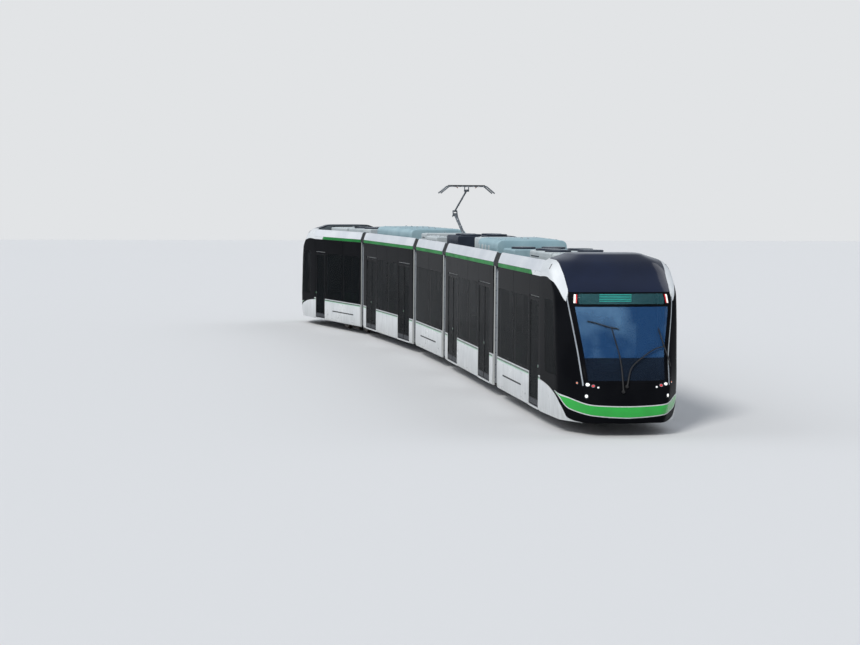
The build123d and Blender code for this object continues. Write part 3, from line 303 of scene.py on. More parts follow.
class Shape:
    """Closed solids of one piece, collected in a section's own frame."""

    def __init__(self):
        self.verts, self.faces, self.finishes, self.flat, self.count = [], [], [], [], 0

    def add(self, verts, faces, finish, flat_from=None):
        """One solid; finish is a name or one per face, faces from flat_from on stay flat."""
        self.verts.append(np.array(verts, float))
        self.faces += [tuple(i + self.count for i in f) for f in faces]
        self.finishes += [finish] * len(faces) if isinstance(finish, str) else finish
        first = len(faces) if flat_from is None else flat_from
        self.flat += [i >= first for i in range(len(faces))]
        self.count += len(verts)

    def mirror(self):
        """Repeats all that is collected so far on the other side of the section."""
        self.verts += [v * (1, -1, 1) for v in self.verts]
        self.faces += [tuple(i + self.count for i in f[::-1]) for f in self.faces]
        self.finishes *= 2
        self.flat *= 2
        self.count *= 2

    def slab(self, finish, outline, a, b, axis="y", holes=(), lip=0.0):
        """A plate between two planes across an axis; its outer edge at b is eased by lip."""
        loops = [ccw(outline)] + [ccw(h)[::-1] for h in holes]
        rings = [(a, 0.0), (b, 0.0)]
        if lip:
            back = -lip if b > a else lip
            rings = [(a, 0.0), (b + back, 0.0), (b + 0.3 * back, 0.3 * lip), (b, lip)]
        verts, faces = [], []
        for depth, inset in rings:
            for p in loops:
                verts += [(u, v, depth) for u, v in p - loop_normals(p) * inset]
        starts = np.cumsum([0] + [len(p) for p in loops]).tolist()
        total = starts.pop()
        for i in range(len(rings) - 1):
            for p, start in zip(loops, starts):
                n, s = len(p), i * total + start
                e = s + total
                faces += [(s + j, s + (j + 1) % n, e + (j + 1) % n, e + j) for j in range(n)]
        flat_from = total
        for s in (0, len(verts) - total):
            cap = [range(total)]
            if holes:
                cap = tessellate_polygon([[Vector((*v[:2], 0)) for v in
                                           verts[s + start:s + start + len(p)]]
                                          for p, start in zip(loops, starts)])
            for t in cap:
                t = tuple(s + j for j in t)
                up = area(np.array([verts[j][:2] for j in t])) > 0
                faces.append(t if up == (s > 0) else t[::-1])
        out = np.zeros((len(verts), 3))
        out[:, AXES[axis]] = verts
        if (axis == "y") != (b < a):
            faces = [f[::-1] for f in faces]
        self.add(out, faces, finish, flat_from)

    def bar(self, finish, outline, a, b, axis, lip):
        """A profile drawn out along an axis and eased at both ends."""
        for end in (b, a):
            self.slab(finish, outline, (a + b) / 2, end, axis, lip=lip)

    def box(self, finish, x, y, z, lip=0.004, r=0.0):
        """A block with eased edges, standing on its z low."""
        self.slab(finish, rounded(*x, *y, max(r, lip), 2), z[0], z[1], "z", lip=lip)

    def tube(self, finish, points, radius, n=10, closed=False):
        """A round bar along points; radius is one number or one per point."""
        p = np.array(points, float)
        d = np.roll(p, -1, 0) - np.roll(p, 1, 0) if closed else np.gradient(p, axis=0)
        d /= np.linalg.norm(d, axis=1, keepdims=True)
        up = np.array((0, 0, 1.0)) if abs(d[0][2]) < 0.9 else np.array((1.0, 0, 0))
        verts, faces = [], []
        for here, ahead, r in zip(p, d, np.broadcast_to(radius, len(p))):
            up = up - ahead * up.dot(ahead)
            up /= np.linalg.norm(up)
            across = np.cross(ahead, up)
            verts += [here + u * up + v * across for u, v in circle(n, r)]
        for i in range(len(p) if closed else len(p) - 1):
            s, e = i * n, (i + 1) % len(p) * n
            faces += [(s + k, e + k, e + (k + 1) % n, s + (k + 1) % n) for k in range(n)]
        if not closed:
            last = len(verts) - 1
            faces += [tuple(range(n)), tuple(range(last, last - n, -1))]
        self.add(verts, faces, finish)

    def lathe(self, finish, profile, centre, axis="z", n=24):
        """Turns (radius, along) pairs, measured from centre, about an axis and closes the ends."""
        m = len(profile)
        verts = np.zeros((n * m, 3))
        verts[:, AXES[axis]] = [(*turned(k, n, r), h) for k in range(n) for r, h in profile]
        faces = []
        for k in range(n):
            s, e = k * m, (k + 1) % n * m
            faces += [(s + j, e + j, e + j + 1, s + j + 1) for j in range(m - 1)]
        faces += [tuple(range((n - 1) * m, -1, -m)), tuple(range(m - 1, n * m, m))]
        if axis == "y":
            faces = [f[::-1] for f in faces]
        self.add(verts + centre, faces, finish)

    def sheet(self, finish, grid, depth, flip=False, pick=None):
        """A curved plate: a grid of outer points, thickened inwards by depth.

        pick(i, j) may give another finish for the cell at row i, column j.
        """
        p = np.array(grid, float)
        n, m = p.shape[:2]
        inner = p - grid_normals(p) * (-depth if flip else depth)
        base = n * m
        faces, finishes = [], []
        for i in range(n - 1):
            for j in range(m - 1):
                s = i * m + j
                cell = (s, s + m, s + m + 1, s + 1)
                faces += [cell, tuple(k + base for k in cell)[::-1]]
                finishes += [pick(i, j) if pick else finish] * 2
        edge = [*range(m), *range(2 * m - 1, base, m), *range(base - 2, base - m - 1, -1),
                *range(base - 2 * m, 0, -m)]
        faces += [(a, b, b + base, a + base) for a, b in zip(edge, edge[1:] + edge[:1])]
        finishes += [finish] * len(edge)
        if flip:
            faces = [f[::-1] for f in faces]
        self.add(np.concatenate([p.reshape(-1, 3), inner.reshape(-1, 3)]), faces, finishes)

    def build(self, name, place, slot, body=None, angle=32, stands_for=()):
        """Turns the solids into one object, in the frame's own metres."""
        mesh = bpy.data.meshes.new(name)
        mesh.from_pydata(np.concatenate(self.verts).tolist(), [], self.faces)
        mesh.transform(place)
        names = list(dict.fromkeys(self.finishes))
        for n in names:
            mesh.materials.append(MATERIALS[n])
        mesh.polygons.foreach_set("material_index", [names.index(n) for n in self.finishes])
        mesh.validate()
        mesh.shade_smooth()
        mesh.set_sharp_from_angle(angle=radians(angle))
        mesh.polygons.foreach_set("use_smooth", [not f for f in self.flat])
        o = new_object(name, mesh)
        if body:
            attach(o, body)
        if stands_for:
            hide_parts(*stands_for)
        return o

    def fit(self, s, tail, slot, angle=32, stands_for=()):
        """Builds a piece that rides on section s and may stand for nodes named after it."""
        nodes = tuple(f"{s.name}_{n}" for n in stands_for)
        return self.build(f"{s.name}_{tail}", s.place, slot, s.name, angle, nodes)


def new_object(name, data):
    """An object in the scene."""
    o = bpy.data.objects.new(name, data)
    bpy.context.scene.collection.objects.link(o)
    return o


# ---------------------------------------------------------------- nose surface
# height, front x, half width of the face, corner x, corner half width, seam half width
NOSE_LEVELS = np.array([
    (0.250, 7.020, 0.760, 6.200, 1.235, 1.325), (0.560, 7.110, 0.800, 6.230, 1.265, 1.325),
    (1.000, 6.985, 0.880, 6.230, 1.280, 1.325), (1.550, 6.750, 0.920, 6.180, 1.295, 1.325),
    (2.800, 6.420, 0.990, 6.040, 1.310, 1.325), (3.245, 6.030, 0.970, 5.620, 1.318, 1.325),
    (3.485, 5.790, 0.900, 5.370, 1.205, 1.235), (3.630, 5.560, 0.700, 5.050, 0.850, 0.870)])
NOSE_SAG, NOSE_SOFT = 0.065, 0.10
NOSE_FOOT, NOSE_TOP = 0.25, 3.63
NOSE_T, NOSE_Z = np.linspace(0, 1, 401), np.linspace(NOSE_FOOT, NOSE_TOP, 241)
SKIN = np.array((3.2, 1.0))     # metres of skin to a unit of t and to a unit of z
SCREEN_FOOT = 1.06
INSIDE_X = 4.0                  # a place behind all of the nose skin


def hermite(x, y, slope, q, k):
    """Cubic through values y with slopes at places x, at q in the stretches numbered k."""
    h = x[k + 1] - x[k]
    s = (q - x[k]) / h
    return ((1 + 2 * s) * (1 - s) ** 2 * y[k] + s * (1 - s) ** 2 * h * slope[k]
            + s * s * (3 - 2 * s) * y[k + 1] + s * s * (s - 1) * h * slope[k + 1])


def monotone(x, y, q):
    """Smooth curve through points without overshoot."""
    h = np.diff(x)
    d = np.diff(y) / h
    slope = np.zeros(len(x))
    for i in range(1, len(x) - 1):
        if d[i - 1] * d[i] > 0:
            w1, w2 = 2 * h[i] + h[i - 1], h[i] + 2 * h[i - 1]
            slope[i] = (w1 + w2) / (w1 / d[i - 1] + w2 / d[i])
    slope[0], slope[-1] = d[0], d[-1]
    return hermite(x, y, slope, q, np.clip(np.searchsorted(x, q) - 1, 0, len(x) - 2))


def smooth_through(x, y, q):
    """Catmull-Rom curve through values y at places x."""
    k = np.clip(np.searchsorted(x, q, side="right") - 1, 0, len(x) - 2)
    return hermite(x, y, np.gradient(y, x), q, k)


def distances(p):
    """How far along a line of 2-D points each of them lies."""
    return np.r_[0, np.cumsum(np.hypot(*np.diff(p, axis=0).T))]


def walk(p, run, s):
    """Points of the line p at the distances s; run holds the distances of its own points."""
    return np.stack([np.interp(s, run, p[:, c]) for c in (0, 1)], 1)


def nose_outline(front, face, corner_x, corner, seam):
    """Half of one level of the nose, softened, from its middle (t=0) to the seam (t=1)."""
    left = [(SEAM_X - 0.8, seam), (SEAM_X, seam), (corner_x, corner), (front - NOSE_SAG, face)]
    p = np.array(left + [(front, 0)] + [(x, -y) for x, y in left[::-1]])
    run = distances(p)
    count = 1201
    q = walk(p, run, np.linspace(0, run[-1], count))
    step = run[-1] / (count - 1)
    k = int(3 * NOSE_SOFT / step)
    g = np.exp(-0.5 * (np.arange(-k, k + 1) * step / NOSE_SOFT) ** 2)
    g /= g.sum()
    q = np.stack([np.convolve(np.pad(q[:, c], k, mode="reflect", reflect_type="odd"), g,
                              mode="valid") for c in (0, 1)], 1)
    half = q[:count // 2 + 1][::-1]
    half = half[half[:, 0] >= SEAM_X - 0.02]
    run = distances(half)
    return walk(half, run, NOSE_T * np.interp(-SEAM_X, -half[:, 0], run))


columns = [monotone(NOSE_LEVELS[:, 0], NOSE_LEVELS[:, c], NOSE_Z) for c in range(1, 6)]
NOSE_TABLE = np.array([nose_outline(*level) for level in zip(*columns)])


def on_nose(t, z):
    """Points of the nose skin: t runs from 0 at the middle to 1 at the seam, minus to the right."""
    t, z = np.broadcast_arrays(np.asarray(t, float), np.asarray(z, float))
    a = np.clip(np.abs(t), 0, 1) * (len(NOSE_T) - 1)
    b = np.clip((z - NOSE_FOOT) / (NOSE_TOP - NOSE_FOOT), 0, 1) * (len(NOSE_Z) - 1)
    i, j = np.minimum(a.astype(int), len(NOSE_T) - 2), np.minimum(b.astype(int), len(NOSE_Z) - 2)
    u, v = (a - i)[..., None], (b - j)[..., None]
    p = (NOSE_TABLE[j, i] * (1 - u) * (1 - v) + NOSE_TABLE[j, i + 1] * u * (1 - v)
         + NOSE_TABLE[j + 1, i] * (1 - u) * v + NOSE_TABLE[j + 1, i + 1] * u * v)
    return np.stack([p[..., 0], p[..., 1] * np.where(t < 0, -1, 1), z], -1)


def line(points, n):
    """n points at even steps along a smooth line through points of (t, z)."""
    p = np.array(points, float) * SKIN
    if len(p) > 2:
        run = distances(p)
        s = np.linspace(0, run[-1], 20 * n)
        p = np.stack([smooth_through(run, p[:, c], s) for c in (0, 1)], 1)
    run = distances(p)
    return walk(p, run, np.linspace(0, run[-1], n)) / SKIN


def between(a, b, n, gap=0.0):
    """n rows of (t, z) from line a to line b, held back from both by gap in metres."""
    width = max(float(np.linalg.norm((a - b) * SKIN, axis=1).max()), 1e-6)
    f = np.linspace(gap / width, 1 - gap / width, n)[:, None, None]
    return a[None] * (1 - f) + b[None] * f


def up_from(t, low, high, steps):
    """Rows of (t, z) over all t, from the heights low to the heights high."""
    v = np.asarray(steps)[:, None]
    return np.stack([np.broadcast_to(t, (len(v), len(t))), low * (1 - v) + high * v], 2)


def raise_by(grid, out):
    """A grid of nose points moved out by a number or an array, and whether it faces inwards."""
    normal = grid_normals(grid)
    facing = (normal[..., 0] * (grid[..., 0] - INSIDE_X) + normal[..., 1] * grid[..., 1]).sum()
    normal = normal if facing > 0 else -normal
    return grid + normal * np.asarray(out)[..., None], facing < 0


# Lines of the nose as (t, z), right half mirrored: t grows towards the seam
SCREEN_EDGE = [(0.417, 2.893), (0.421, 2.76), (0.397, 2.50), (0.373, 2.24), (0.348, 1.93),
               (0.329, 1.68), (0.313, 1.42), (0.300, 1.20), (0.292, SCREEN_FOOT)]
SWEEP_UPPER = [(1.0, 3.535), (0.885, 3.53), (0.78, 3.525), (0.667, 3.505), (0.60, 3.45),
               (0.545, 3.36), (0.497, 3.24), (0.453, 3.06), (0.425, 2.893), (0.432, 2.78)]
SWEEP_LOWER = [(1.0, 3.15), (0.848, 3.165), (0.75, 3.155), (0.688, 3.125), (0.58, 3.065),
               (0.508, 2.92), (0.460, 2.75), (0.442, 2.70)]
WHITE_TOP = [(1.0, 0.94), (0.89, 0.915), (0.795, 0.88), (0.725, 0.842), (0.670, 0.80),
             (0.612, 0.745), (0.568, 0.68), (0.538, 0.60), (0.512, 0.52), (0.490, 0.43),
             (0.470, 0.34), (0.42, 0.285), (0.323, 0.252)]
BAND_TOP = [(0.0, 0.62), (0.07, 0.622), (0.135, 0.628), (0.215, 0.642), (0.28, 0.664),
            (0.353, 0.70), (0.470, 0.768), (0.637, 0.835)]
BAND_FOOT = [(0.0, 0.36), (0.138, 0.382), (0.25, 0.418), (0.358, 0.458), (0.42, 0.492),
             (0.462, 0.53), (0.495, 0.60), (0.530, 0.70), (0.632, 0.828)]
SIDE_FOOT = [(0.30, 0.674), (0.353, 0.703), (0.470, 0.771), (0.56, 0.808), (0.637, 0.838),
             (0.672, 0.806), (0.725, 0.845), (0.795, 0.883), (0.89, 0.918), (1.0, 0.943)]
SIDE_TOP = [(0.442, 2.70), (0.460, 2.745), (0.508, 2.915), (0.58, 3.06), (0.688, 3.12),
            (0.75, 3.15), (0.848, 3.16), (1.0, 3.145)]
CAP_CORNER = 0.4255
CAP_FOOT = [(CAP_CORNER, 2.893), (0.455, 3.06), (0.499, 3.24), (0.547, 3.36), (0.602, 3.453),
            (0.667, 3.509), (0.78, 3.529), (0.885, 3.534), (1.0, 3.539)]
CAP_ROWS = 18                   # rows of the cap below its top edge
# Lamps of one side: t, z, half width, half height, finish
LAMPS = [(0.350, 1.065, 0.022, 0.014, "lens_orange"), (0.267, 1.045, 0.040, 0.026, "lens_white"),
         (0.231, 1.020, 0.030, 0.020, "lens_red"), (0.198, 0.990, 0.017, 0.013, "lens_white"),
         (0.277, 0.815, 0.032, 0.030, "lens_white")]


def edge_t(z):
    """How far out the windscreen reaches at a height."""
    t, heights = np.array(SCREEN_EDGE[::-1]).T
    return np.interp(z, heights, t)


def height_at(points, t):
    """Height of a line of (t, z) at each t, smooth."""
    p = np.array(sorted(points))
    return smooth_through(p[:, 0], p[:, 1], np.clip(t, p[0, 0], p[-1, 0]))


def nose_panel(shape, finish, rows, out=0.0, depth=0.028, pick=None):
    """A panel of the nose over rows of (t, z)."""
    grid, flip = raise_by(on_nose(rows[..., 0], rows[..., 1]), out)
    shape.sheet(finish, grid, depth, flip=flip, pick=pick)


def ribbon(shape, finish, centre_line, half_width, out, depth):
    """A narrow strip of the skin along a line of (t, z)."""
    p = np.array(centre_line) * SKIN
    d = np.gradient(p, axis=0)
    d /= np.linalg.norm(d, axis=1, keepdims=True)
    n = np.stack([-d[:, 1], d[:, 0]], 1) * half_width
    nose_panel(shape, finish, np.stack([p - n, p, p + n]) / SKIN, out, depth)


def blob(t, z, half_w, half_h, n=9):
    """Rows of (t, z) that fill an ellipse on the skin."""
    u, v = np.meshgrid(np.linspace(-1, 1, n), np.linspace(-1, 1, n))
    return np.stack([t + u * np.sqrt(1 - v * v / 2) * half_w / SKIN[0],
                     z + v * np.sqrt(1 - u * u / 2) * half_h], 2)


def quad(t0, t1, z0, z1, n=7):
    """Rows of (t, z) that fill a rectangle on the skin."""
    return np.stack(np.meshgrid(np.linspace(t0, t1, n), np.linspace(z0, z1, n)), 2)


def cap_grid():
    """Outer points of the dark cap: up from the windscreen, then over its domed top."""
    t = np.r_[np.linspace(0, CAP_CORNER, 14), np.linspace(CAP_CORNER, 0.70, 22)[1:],
              np.linspace(0.70, 1, 9)[1:]]
    foot = np.where(t <= CAP_CORNER, 2.896, height_at(CAP_FOOT, t))
    rows = up_from(t, foot, NOSE_TOP, np.linspace(0, 1, CAP_ROWS))
    half = on_nose(rows[..., 0], rows[..., 1])
    full = np.concatenate([half[:, :0:-1] * (1, -1, 1), half], 1)
    ring = full[-1]
    rows = [full]
    for s in (0.012, 0.03, 0.055, 0.09, 0.14, 0.22, 0.34, 0.5, 0.7, 0.88, 0.99):
        top = (ring - (SEAM_X, 0, 0)) * (1 - s) + (SEAM_X, 0, 0)
        top[:, 2] = NOSE_TOP + 0.036 * (1 - (1 - s) ** 11)
        rows.append(top[None])
    return np.concatenate(rows)


def side_rows():
    """Rows of (t, z) of the dark side between windscreen and seam, with its window's cells."""
    rows = []
    for r in np.r_[np.linspace(0, 1, 6), np.linspace(1, 2, 15)[1:], np.linspace(2, 3, 7)[1:]]:
        def at(*values):
            return np.interp(r, (0, 1, 2, 3), values)
        start = edge_t(max(at(0.672, 1.15, 2.60, 2.70), SCREEN_FOOT)) + 0.016
        pane = at(0.575, 0.570, 0.630, 0.650)
        t = np.r_[np.linspace(start, pane, 12), np.linspace(pane, 0.87, 12)[1:],
                  np.linspace(0.87, 1.0, 6)[1:]]
        z = [at(low, 1.15, middle, high) for low, middle, high in zip(
            height_at(SIDE_FOOT, t), np.interp(t, (0.43, 0.5), (2.60, 2.70)),
            height_at(SIDE_TOP, t))]
        rows.append(np.stack([t, z], 1))
    return np.array(rows)


def side_pick(i, j):
    """Finish of a cell of side_rows."""
    return "side_glass" if 5 <= i < 19 and 11 <= j < 22 else "black_gloss"


def screen_rows():
    """Rows of (t, z) of the windscreen and the sign window above it."""
    z = np.r_[1.062, 1.09, np.linspace(1.12, 2.60, 24), 2.63, 2.655, 2.72, 2.79, 2.865, 2.893]
    w = np.r_[0, np.linspace(0, 0.81, 12)[1:], 0.85, 0.895, 0.95, 1.0]
    w = np.r_[-w[:0:-1], w]
    return np.stack([edge_t(z)[:, None] * w, np.broadcast_to(z[:, None], (len(z), len(w)))], 2)


def screen_pick(i, j):
    """Finish of a cell of screen_rows, whose middle column is 15."""
    side = abs(j + 0.5 - 15)
    if 2 <= i < 25 and side < 13:
        # Windscreen rows below about 1.5 m take the darker glass as painted shade; the others take
        # the tint that carries a painted sky reflection.
        return "screen_low" if i < 9 else "screen_glass"
    return "sign_glass" if 27 <= i < 30 and side < 11 else "black_gloss"


def mask_rows(t):
    """Rows of (t, z) of the dark mask between the band and the windscreen."""
    steps = np.r_[np.linspace(0, 0.5, 6), np.linspace(0.5, 0.85, 14)[1:], 1]
    return up_from(t, height_at(BAND_TOP, np.abs(t)) + 0.003, 1.059, steps)


def nose(cab):
    """Outer skin of a cab's nose: cap, sweep, dark sides, windscreen, mask, band, white panels."""
    skin = Shape()
    nose_panel(skin, "white_paint", between(line(SWEEP_UPPER, 60), line(SWEEP_LOWER, 60), 9, 0.002))
    nose_panel(skin, "black_gloss", side_rows(), depth=0.012, pick=side_pick)
    z = np.linspace(1.02, 2.80, 40)
    ribbon(skin, "silver_trim", np.stack([edge_t(np.maximum(z, SCREEN_FOOT)) + 0.0085, z], 1),
           0.017, 0.003, 0.012)
    under = line([p for p in WHITE_TOP if p[0] <= 0.68] + [(0.2, 0.252), (0.0, 0.252)], 44)
    above = line([(0.642, 0.834)] + [(t, z - 0.003) for t, z in BAND_FOOT[::-1][1:]], 44)
    nose_panel(skin, "black_gloss", between(above, under, 8, 0.003))
    lower = np.stack([np.linspace(1.0, 0.318, 50), np.full(50, 0.2505)], 1)
    nose_panel(skin, "white_paint", between(line(WHITE_TOP, 50), lower, 12, 0.003), 0.003)
    for t, z, w, h, finish in LAMPS:
        nose_panel(skin, "silver_trim", blob(t, z, w + 0.009, h + 0.009), 0.004, 0.012)
        nose_panel(skin, finish, blob(t, z, w, h), 0.007, 0.012)
    nose_panel(skin, "lens_white", quad(0.360, 0.374, 2.675, 2.85), 0.004, 0.008)
    nose_panel(skin, "lens_red", quad(0.349, 0.358, 2.675, 2.85), 0.004, 0.008)
    nose_panel(skin, "rubber", blob(0.70, 3.385, 0.022, 0.055), 0.003, 0.012)
    skin.mirror()
    grid = cap_grid()
    _, flip = raise_by(grid[:CAP_ROWS], 0)
    skin.sheet("navy_cap", grid, 0.022, flip=flip)
    ring = grid[CAP_ROWS - 1, ::2]
    back = [(y * 0.985, z - 0.012) for _, y, z in ring]
    skin.slab("roof_grey", back + [(-1.15, 3.42), (1.15, 3.42)], SEAM_X + 0.004, SEAM_X + 0.03,
              "x")
    half = [(-0.4, NOSE_TOP + 0.030), (-0.82, NOSE_TOP + 0.012), (-0.86, 3.55)]
    skin.slab("roof_grey", half + [(-y, z) for y, z in half[::-1]], SEAM_X + 0.004,
              SEAM_X + 0.02, "x")
    nose_panel(skin, "black_gloss", screen_rows(), depth=0.010, pick=screen_pick)
    t = np.linspace(-0.307, 0.307, 45)
    mask = mask_rows(t)
    crease = 0.010 * np.exp(-((mask[..., 1] - 0.935) / 0.018) ** 2)
    nose_panel(skin, "black_gloss", mask, crease * np.clip((0.22 - abs(t)) * 20, 0, 1))
    t = np.linspace(0, 0.632, 46)
    t = np.r_[-t[:0:-1], t]
    top, foot = height_at(BAND_TOP, abs(t)), height_at(BAND_FOOT, abs(t))
    edge = np.minimum(0.021 + 0.012 * np.clip((abs(t) - 0.44) * 12, 0, 1), (top - foot) / 3)
    for finish, low, high, out, n in (("white_paint", foot + 0.001, foot + edge, 0.004, 3),
                                      ("bright_green", foot + edge, top - edge, 0.003, 7),
                                      ("white_paint", top - edge, top - 0.001, 0.004, 3)):
        nose_panel(skin, finish, up_from(t, low, high, np.linspace(0, 1, n)), out)
    skin.fit(cab, "nose_skin", "nose_paint", 28, ("nose", "windscreen"))
    nose_liner(cab, mask)
    wipers(cab)


def nose_liner(cab, mask):
    """Trim behind the skin of a nose, and the tray that closes it from below."""
    liner = Shape()
    rows = side_rows()
    for part in (rows[:5], rows[19:], rows[4:20, :11], rows[4:20, 23:]):
        nose_panel(liner, "cab_trim", part, -0.03, 0.008)
    liner.mirror()
    grid, flip = raise_by(cap_grid()[:CAP_ROWS], -0.03)
    liner.sheet("cab_trim", grid, 0.008, flip=flip)
    nose_panel(liner, "cab_trim", mask, -0.032, 0.008)
    middle = np.array((5.2, 0.0))
    away = on_nose(np.linspace(-0.90, 0.90, 61), 0.27)[:, :2] - middle
    tray = middle + away * (1 - 0.045 / np.linalg.norm(away, axis=1))[:, None]
    liner.slab("underframe", tray, 0.262, 0.272, "z", lip=0.003)
    liner.fit(cab, "nose_liner", "cab_trim")


# The arm and the blade of each wiper as lines of (t, z)
WIPERS = [([(-0.035, 0.90), (-0.042, 1.58), (-0.075, 1.97), (-0.095, 2.18)],
           [(-0.270, 2.31), (-0.205, 2.27), (-0.130, 2.205), (-0.040, 2.15)]),
          ([(-0.010, 1.00), (0.035, 1.36), (0.125, 1.57), (0.228, 1.74), (0.292, 1.79)],
           [(0.262, 2.16), (0.295, 1.78), (0.338, 1.38)])]


def wipers(cab):
    """Two wipers: arms from spindles below the glass, blades lying along it."""
    w = Shape()

    def lifted(points, out):
        both = np.array([points, [(t + 0.001, z) for t, z in points]])
        return raise_by(on_nose(both[..., 0], both[..., 1]), out)[0][0]
    for arm_line, blade_line in WIPERS:
        w.tube("rubber", lifted(line(arm_line, 26), 0.045), np.linspace(0.017, 0.010, 26), 8)
        blade = line(blade_line, 26)
        w.tube("rubber", lifted(blade, 0.020), 0.012, 6)
        w.tube("cab_trim", lifted(blade[4:22], 0.036), 0.009, 6)
        t, z = arm_line[0]
        w.lathe("rubber", [(0.030, -0.03), (0.036, 0.0), (0.034, 0.02), (0.022, 0.034)],
                lifted([(t, z), (t + 0.002, z + 0.01)], 0.02)[0], "x", 16)
    w.fit(cab, "wipers", "cab_trim")


for cab in CABS:
    nose(cab)


# ---------------------------------------------------------------- body sides
def stretches(low, high, cuts):
    """What the cuts leave of the stretch from low to high."""
    out, at = [], low
    for a, b in sorted(cuts):
        if a > at:
            out.append((at, a))
        at = max(at, b)
    if high > at:
        out.append((at, high))
    return out


def slits(places, half=0.0025):
    """Narrow cuts at the places given."""
    return [(c - half, c + half) for c in places]


SKIRT = [(1.300, 1.012), (1.300, 0.300), (1.262, 0.300), (1.262, 0.253), (1.292, 0.250),
         (1.310, 0.258), (1.322, 0.280), (1.329, 0.330), (1.329, 0.998), (1.325, 1.012)]
FAIRING = [(1.3285, 3.249), (1.3145, 3.302), (1.2900, 3.369), (1.2630, 3.440), (1.2405, 3.484),
           (1.2230, 3.493), (1.2010, 3.491), (1.1880, 3.480), (1.1880, 3.474), (1.2230, 3.474),
           (1.2990, 3.270), (1.3080, 3.249)]


def side_walls(s):
    """Lining, dark window band, white skirt, stripes, cant rail and end posts of a section."""
    inner, outer = Shape(), Shape()
    is_cab = s in CABS
    middle = (s.windows[0][1] + s.windows[1][0]) / 2

    def holes(x0, x1):
        return [rounded(a, b, 1.06, 2.65, 0.045) for a, b in s.windows if x0 < a and b < x1]

    def dark(x0, x1, z0, holes=()):
        outer.slab("black_gloss", rounded(x0 + 0.002, x1 - 0.002, z0, 3.143, 0.008, 3), WALL_Y,
                   SKIN_Y, holes=holes, lip=0.003)
    for x0, x1 in stretches(s.low, s.high, s.doors):
        inner.slab("lining", rounded(x0, x1, 0.30, 2.68), LINING_Y, WALL_Y, holes=holes(x0, x1))
    inner.slab("lining", rounded(s.low, s.high, 2.682, 3.145), LINING_Y, WALL_Y)
    for x0, x1 in stretches(s.low, s.high, s.doors + slits([middle], 0.004)):
        dark(x0, x1, 1.016, holes(x0, x1))
    outer.slab("rubber", rounded(middle - 0.005, middle + 0.005, 1.02, 3.14), WALL_Y, 1.318)
    for d0, d1 in s.doors:
        dark(d0, d1, 2.70)
        outer.bar("white_paint", rounded(1.20, 1.329, 0.252, 0.297, 0.012, 3), d0 + 0.002,
                  d1 - 0.002, "x", 0.003)
        outer.box("alu", (d0 + 0.01, d1 - 0.01), (1.205, 1.322), (0.296, 0.303), 0.002)
    for x0, x1 in stretches(s.low, s.high, s.doors + slits(s.skirt_cuts)):
        outer.bar("white_paint", SKIRT, x0, x1, "x", 0.003)
        for finish, z0, z1 in (("deep_green", 0.948, 0.990), ("mint_paint", 0.930, 0.944)):
            outer.slab(finish, rounded(x0 + 0.003, x1 - 0.003, z0, z1), STRIPE_Y, 1.3302,
                       lip=0.0008)
        for x in (x0 + 0.05, x1 - 0.05) if x1 - x0 > 0.5 else ():
            for z in (0.35, 0.88):
                outer.lathe("silver_trim", [(0.004, 1.327), (0.011, 1.3292), (0.011, 1.3306),
                                            (0.006, 1.3312)], (x, 0, z), "y", 12)
    if s not in SALOONS:
        x0, x1 = (0.93, 2.915) if is_cab else (-1.15, 1.15)
        outer.slab("rubber", rounded(x0, x1, 0.600, 0.638, 0.012, 3), 1.328, 1.3304, lip=0.001)
        for z in (0.609, 0.629):
            outer.slab("cab_trim", rounded(x0 + 0.02, x1 - 0.02, z - 0.005, z + 0.005, 0.004, 2),
                       1.329, 1.3318, lip=0.001)
        outer.lathe("cab_trim", [(0.010, 1.328), (0.022, 1.3295), (0.022, 1.331), (0.012, 1.332)],
                    (x1 + 0.45 if is_cab else 1.5, 0, 0.47), "y", 16)
    end, lean = (3.84, 1.2) if is_cab else (s.high, 0)
    for finish, z0, z1 in (("rubber", 3.146, 3.152), ("green_paint", 3.152, 3.243),
                           ("rubber", 3.243, 3.248)):
        outer.slab(finish, [(s.low, z0), (end + lean * (3.247 - z0), z0),
                            (end + lean * (3.247 - z1), z1), (s.low, z1)], 1.3235, STRIPE_Y,
                   lip=0.001)
    if is_cab:
        outer.slab("white_paint", [(3.842, 3.247), (3.962, 3.147), (4.766, 3.147),
                                   (4.766, 3.247)], 1.3235, STRIPE_Y, lip=0.001)
    joints = slits(np.linspace(s.low, s.high, 5)[1:-1])
    for x0, x1 in stretches(s.low, s.high - 0.004, joints):
        outer.bar("roof_white", FAIRING, x0, x1, "x", 0.002)
    for x in (s.low,) if is_cab else (s.low, s.high - 0.07):
        inner.box("cab_trim", (x, x + 0.07), (1.065, 1.267), (0.35, CEILING), 0.006)
    for x0, x1 in s.windows:
        inner.slab("rubber", rounded(x0 - 0.022, x1 + 0.022, 1.038, 2.672, 0.055), 1.2685,
                   1.2655, holes=[pane(x0, x1)])
        inner.box("cab_trim", (x0 - 0.02, x1 + 0.02), (1.246, 1.2678), (1.02, 1.037))
    for shape in (inner, outer):
        shape.mirror()
    inner.fit(s, "lining", "cab_trim")
    outer.fit(s, "shell", "body_paint", 30, ("side_walls",))


def pane(x0, x1):
    """Outline of a side pane."""
    return rounded(x0 + 0.001, x1 - 0.001, 1.061, 2.649, 0.044)


def leaf_pane(a, b):
    """Outline of the pane of a door leaf."""
    return rounded(a + 0.068, b - 0.068, 0.478, 2.602, 0.05)


def windows(s):
    """Tinted panes of the sides and of the door leaves."""
    panes = Shape()
    for x0, x1 in s.windows:
        panes.slab("side_glass", pane(x0, x1), 1.3170, 1.3238, lip=0.001)
    for a, b in leaves_of(s):
        panes.slab("side_glass", leaf_pane(a, b), 1.3060, 1.3150, lip=0.001)
    panes.mirror()
    panes.fit(s, "panes", "glass", stands_for=("windows",))


LEAF_GAP = 0.007                # between the edge of a doorway and its leaf


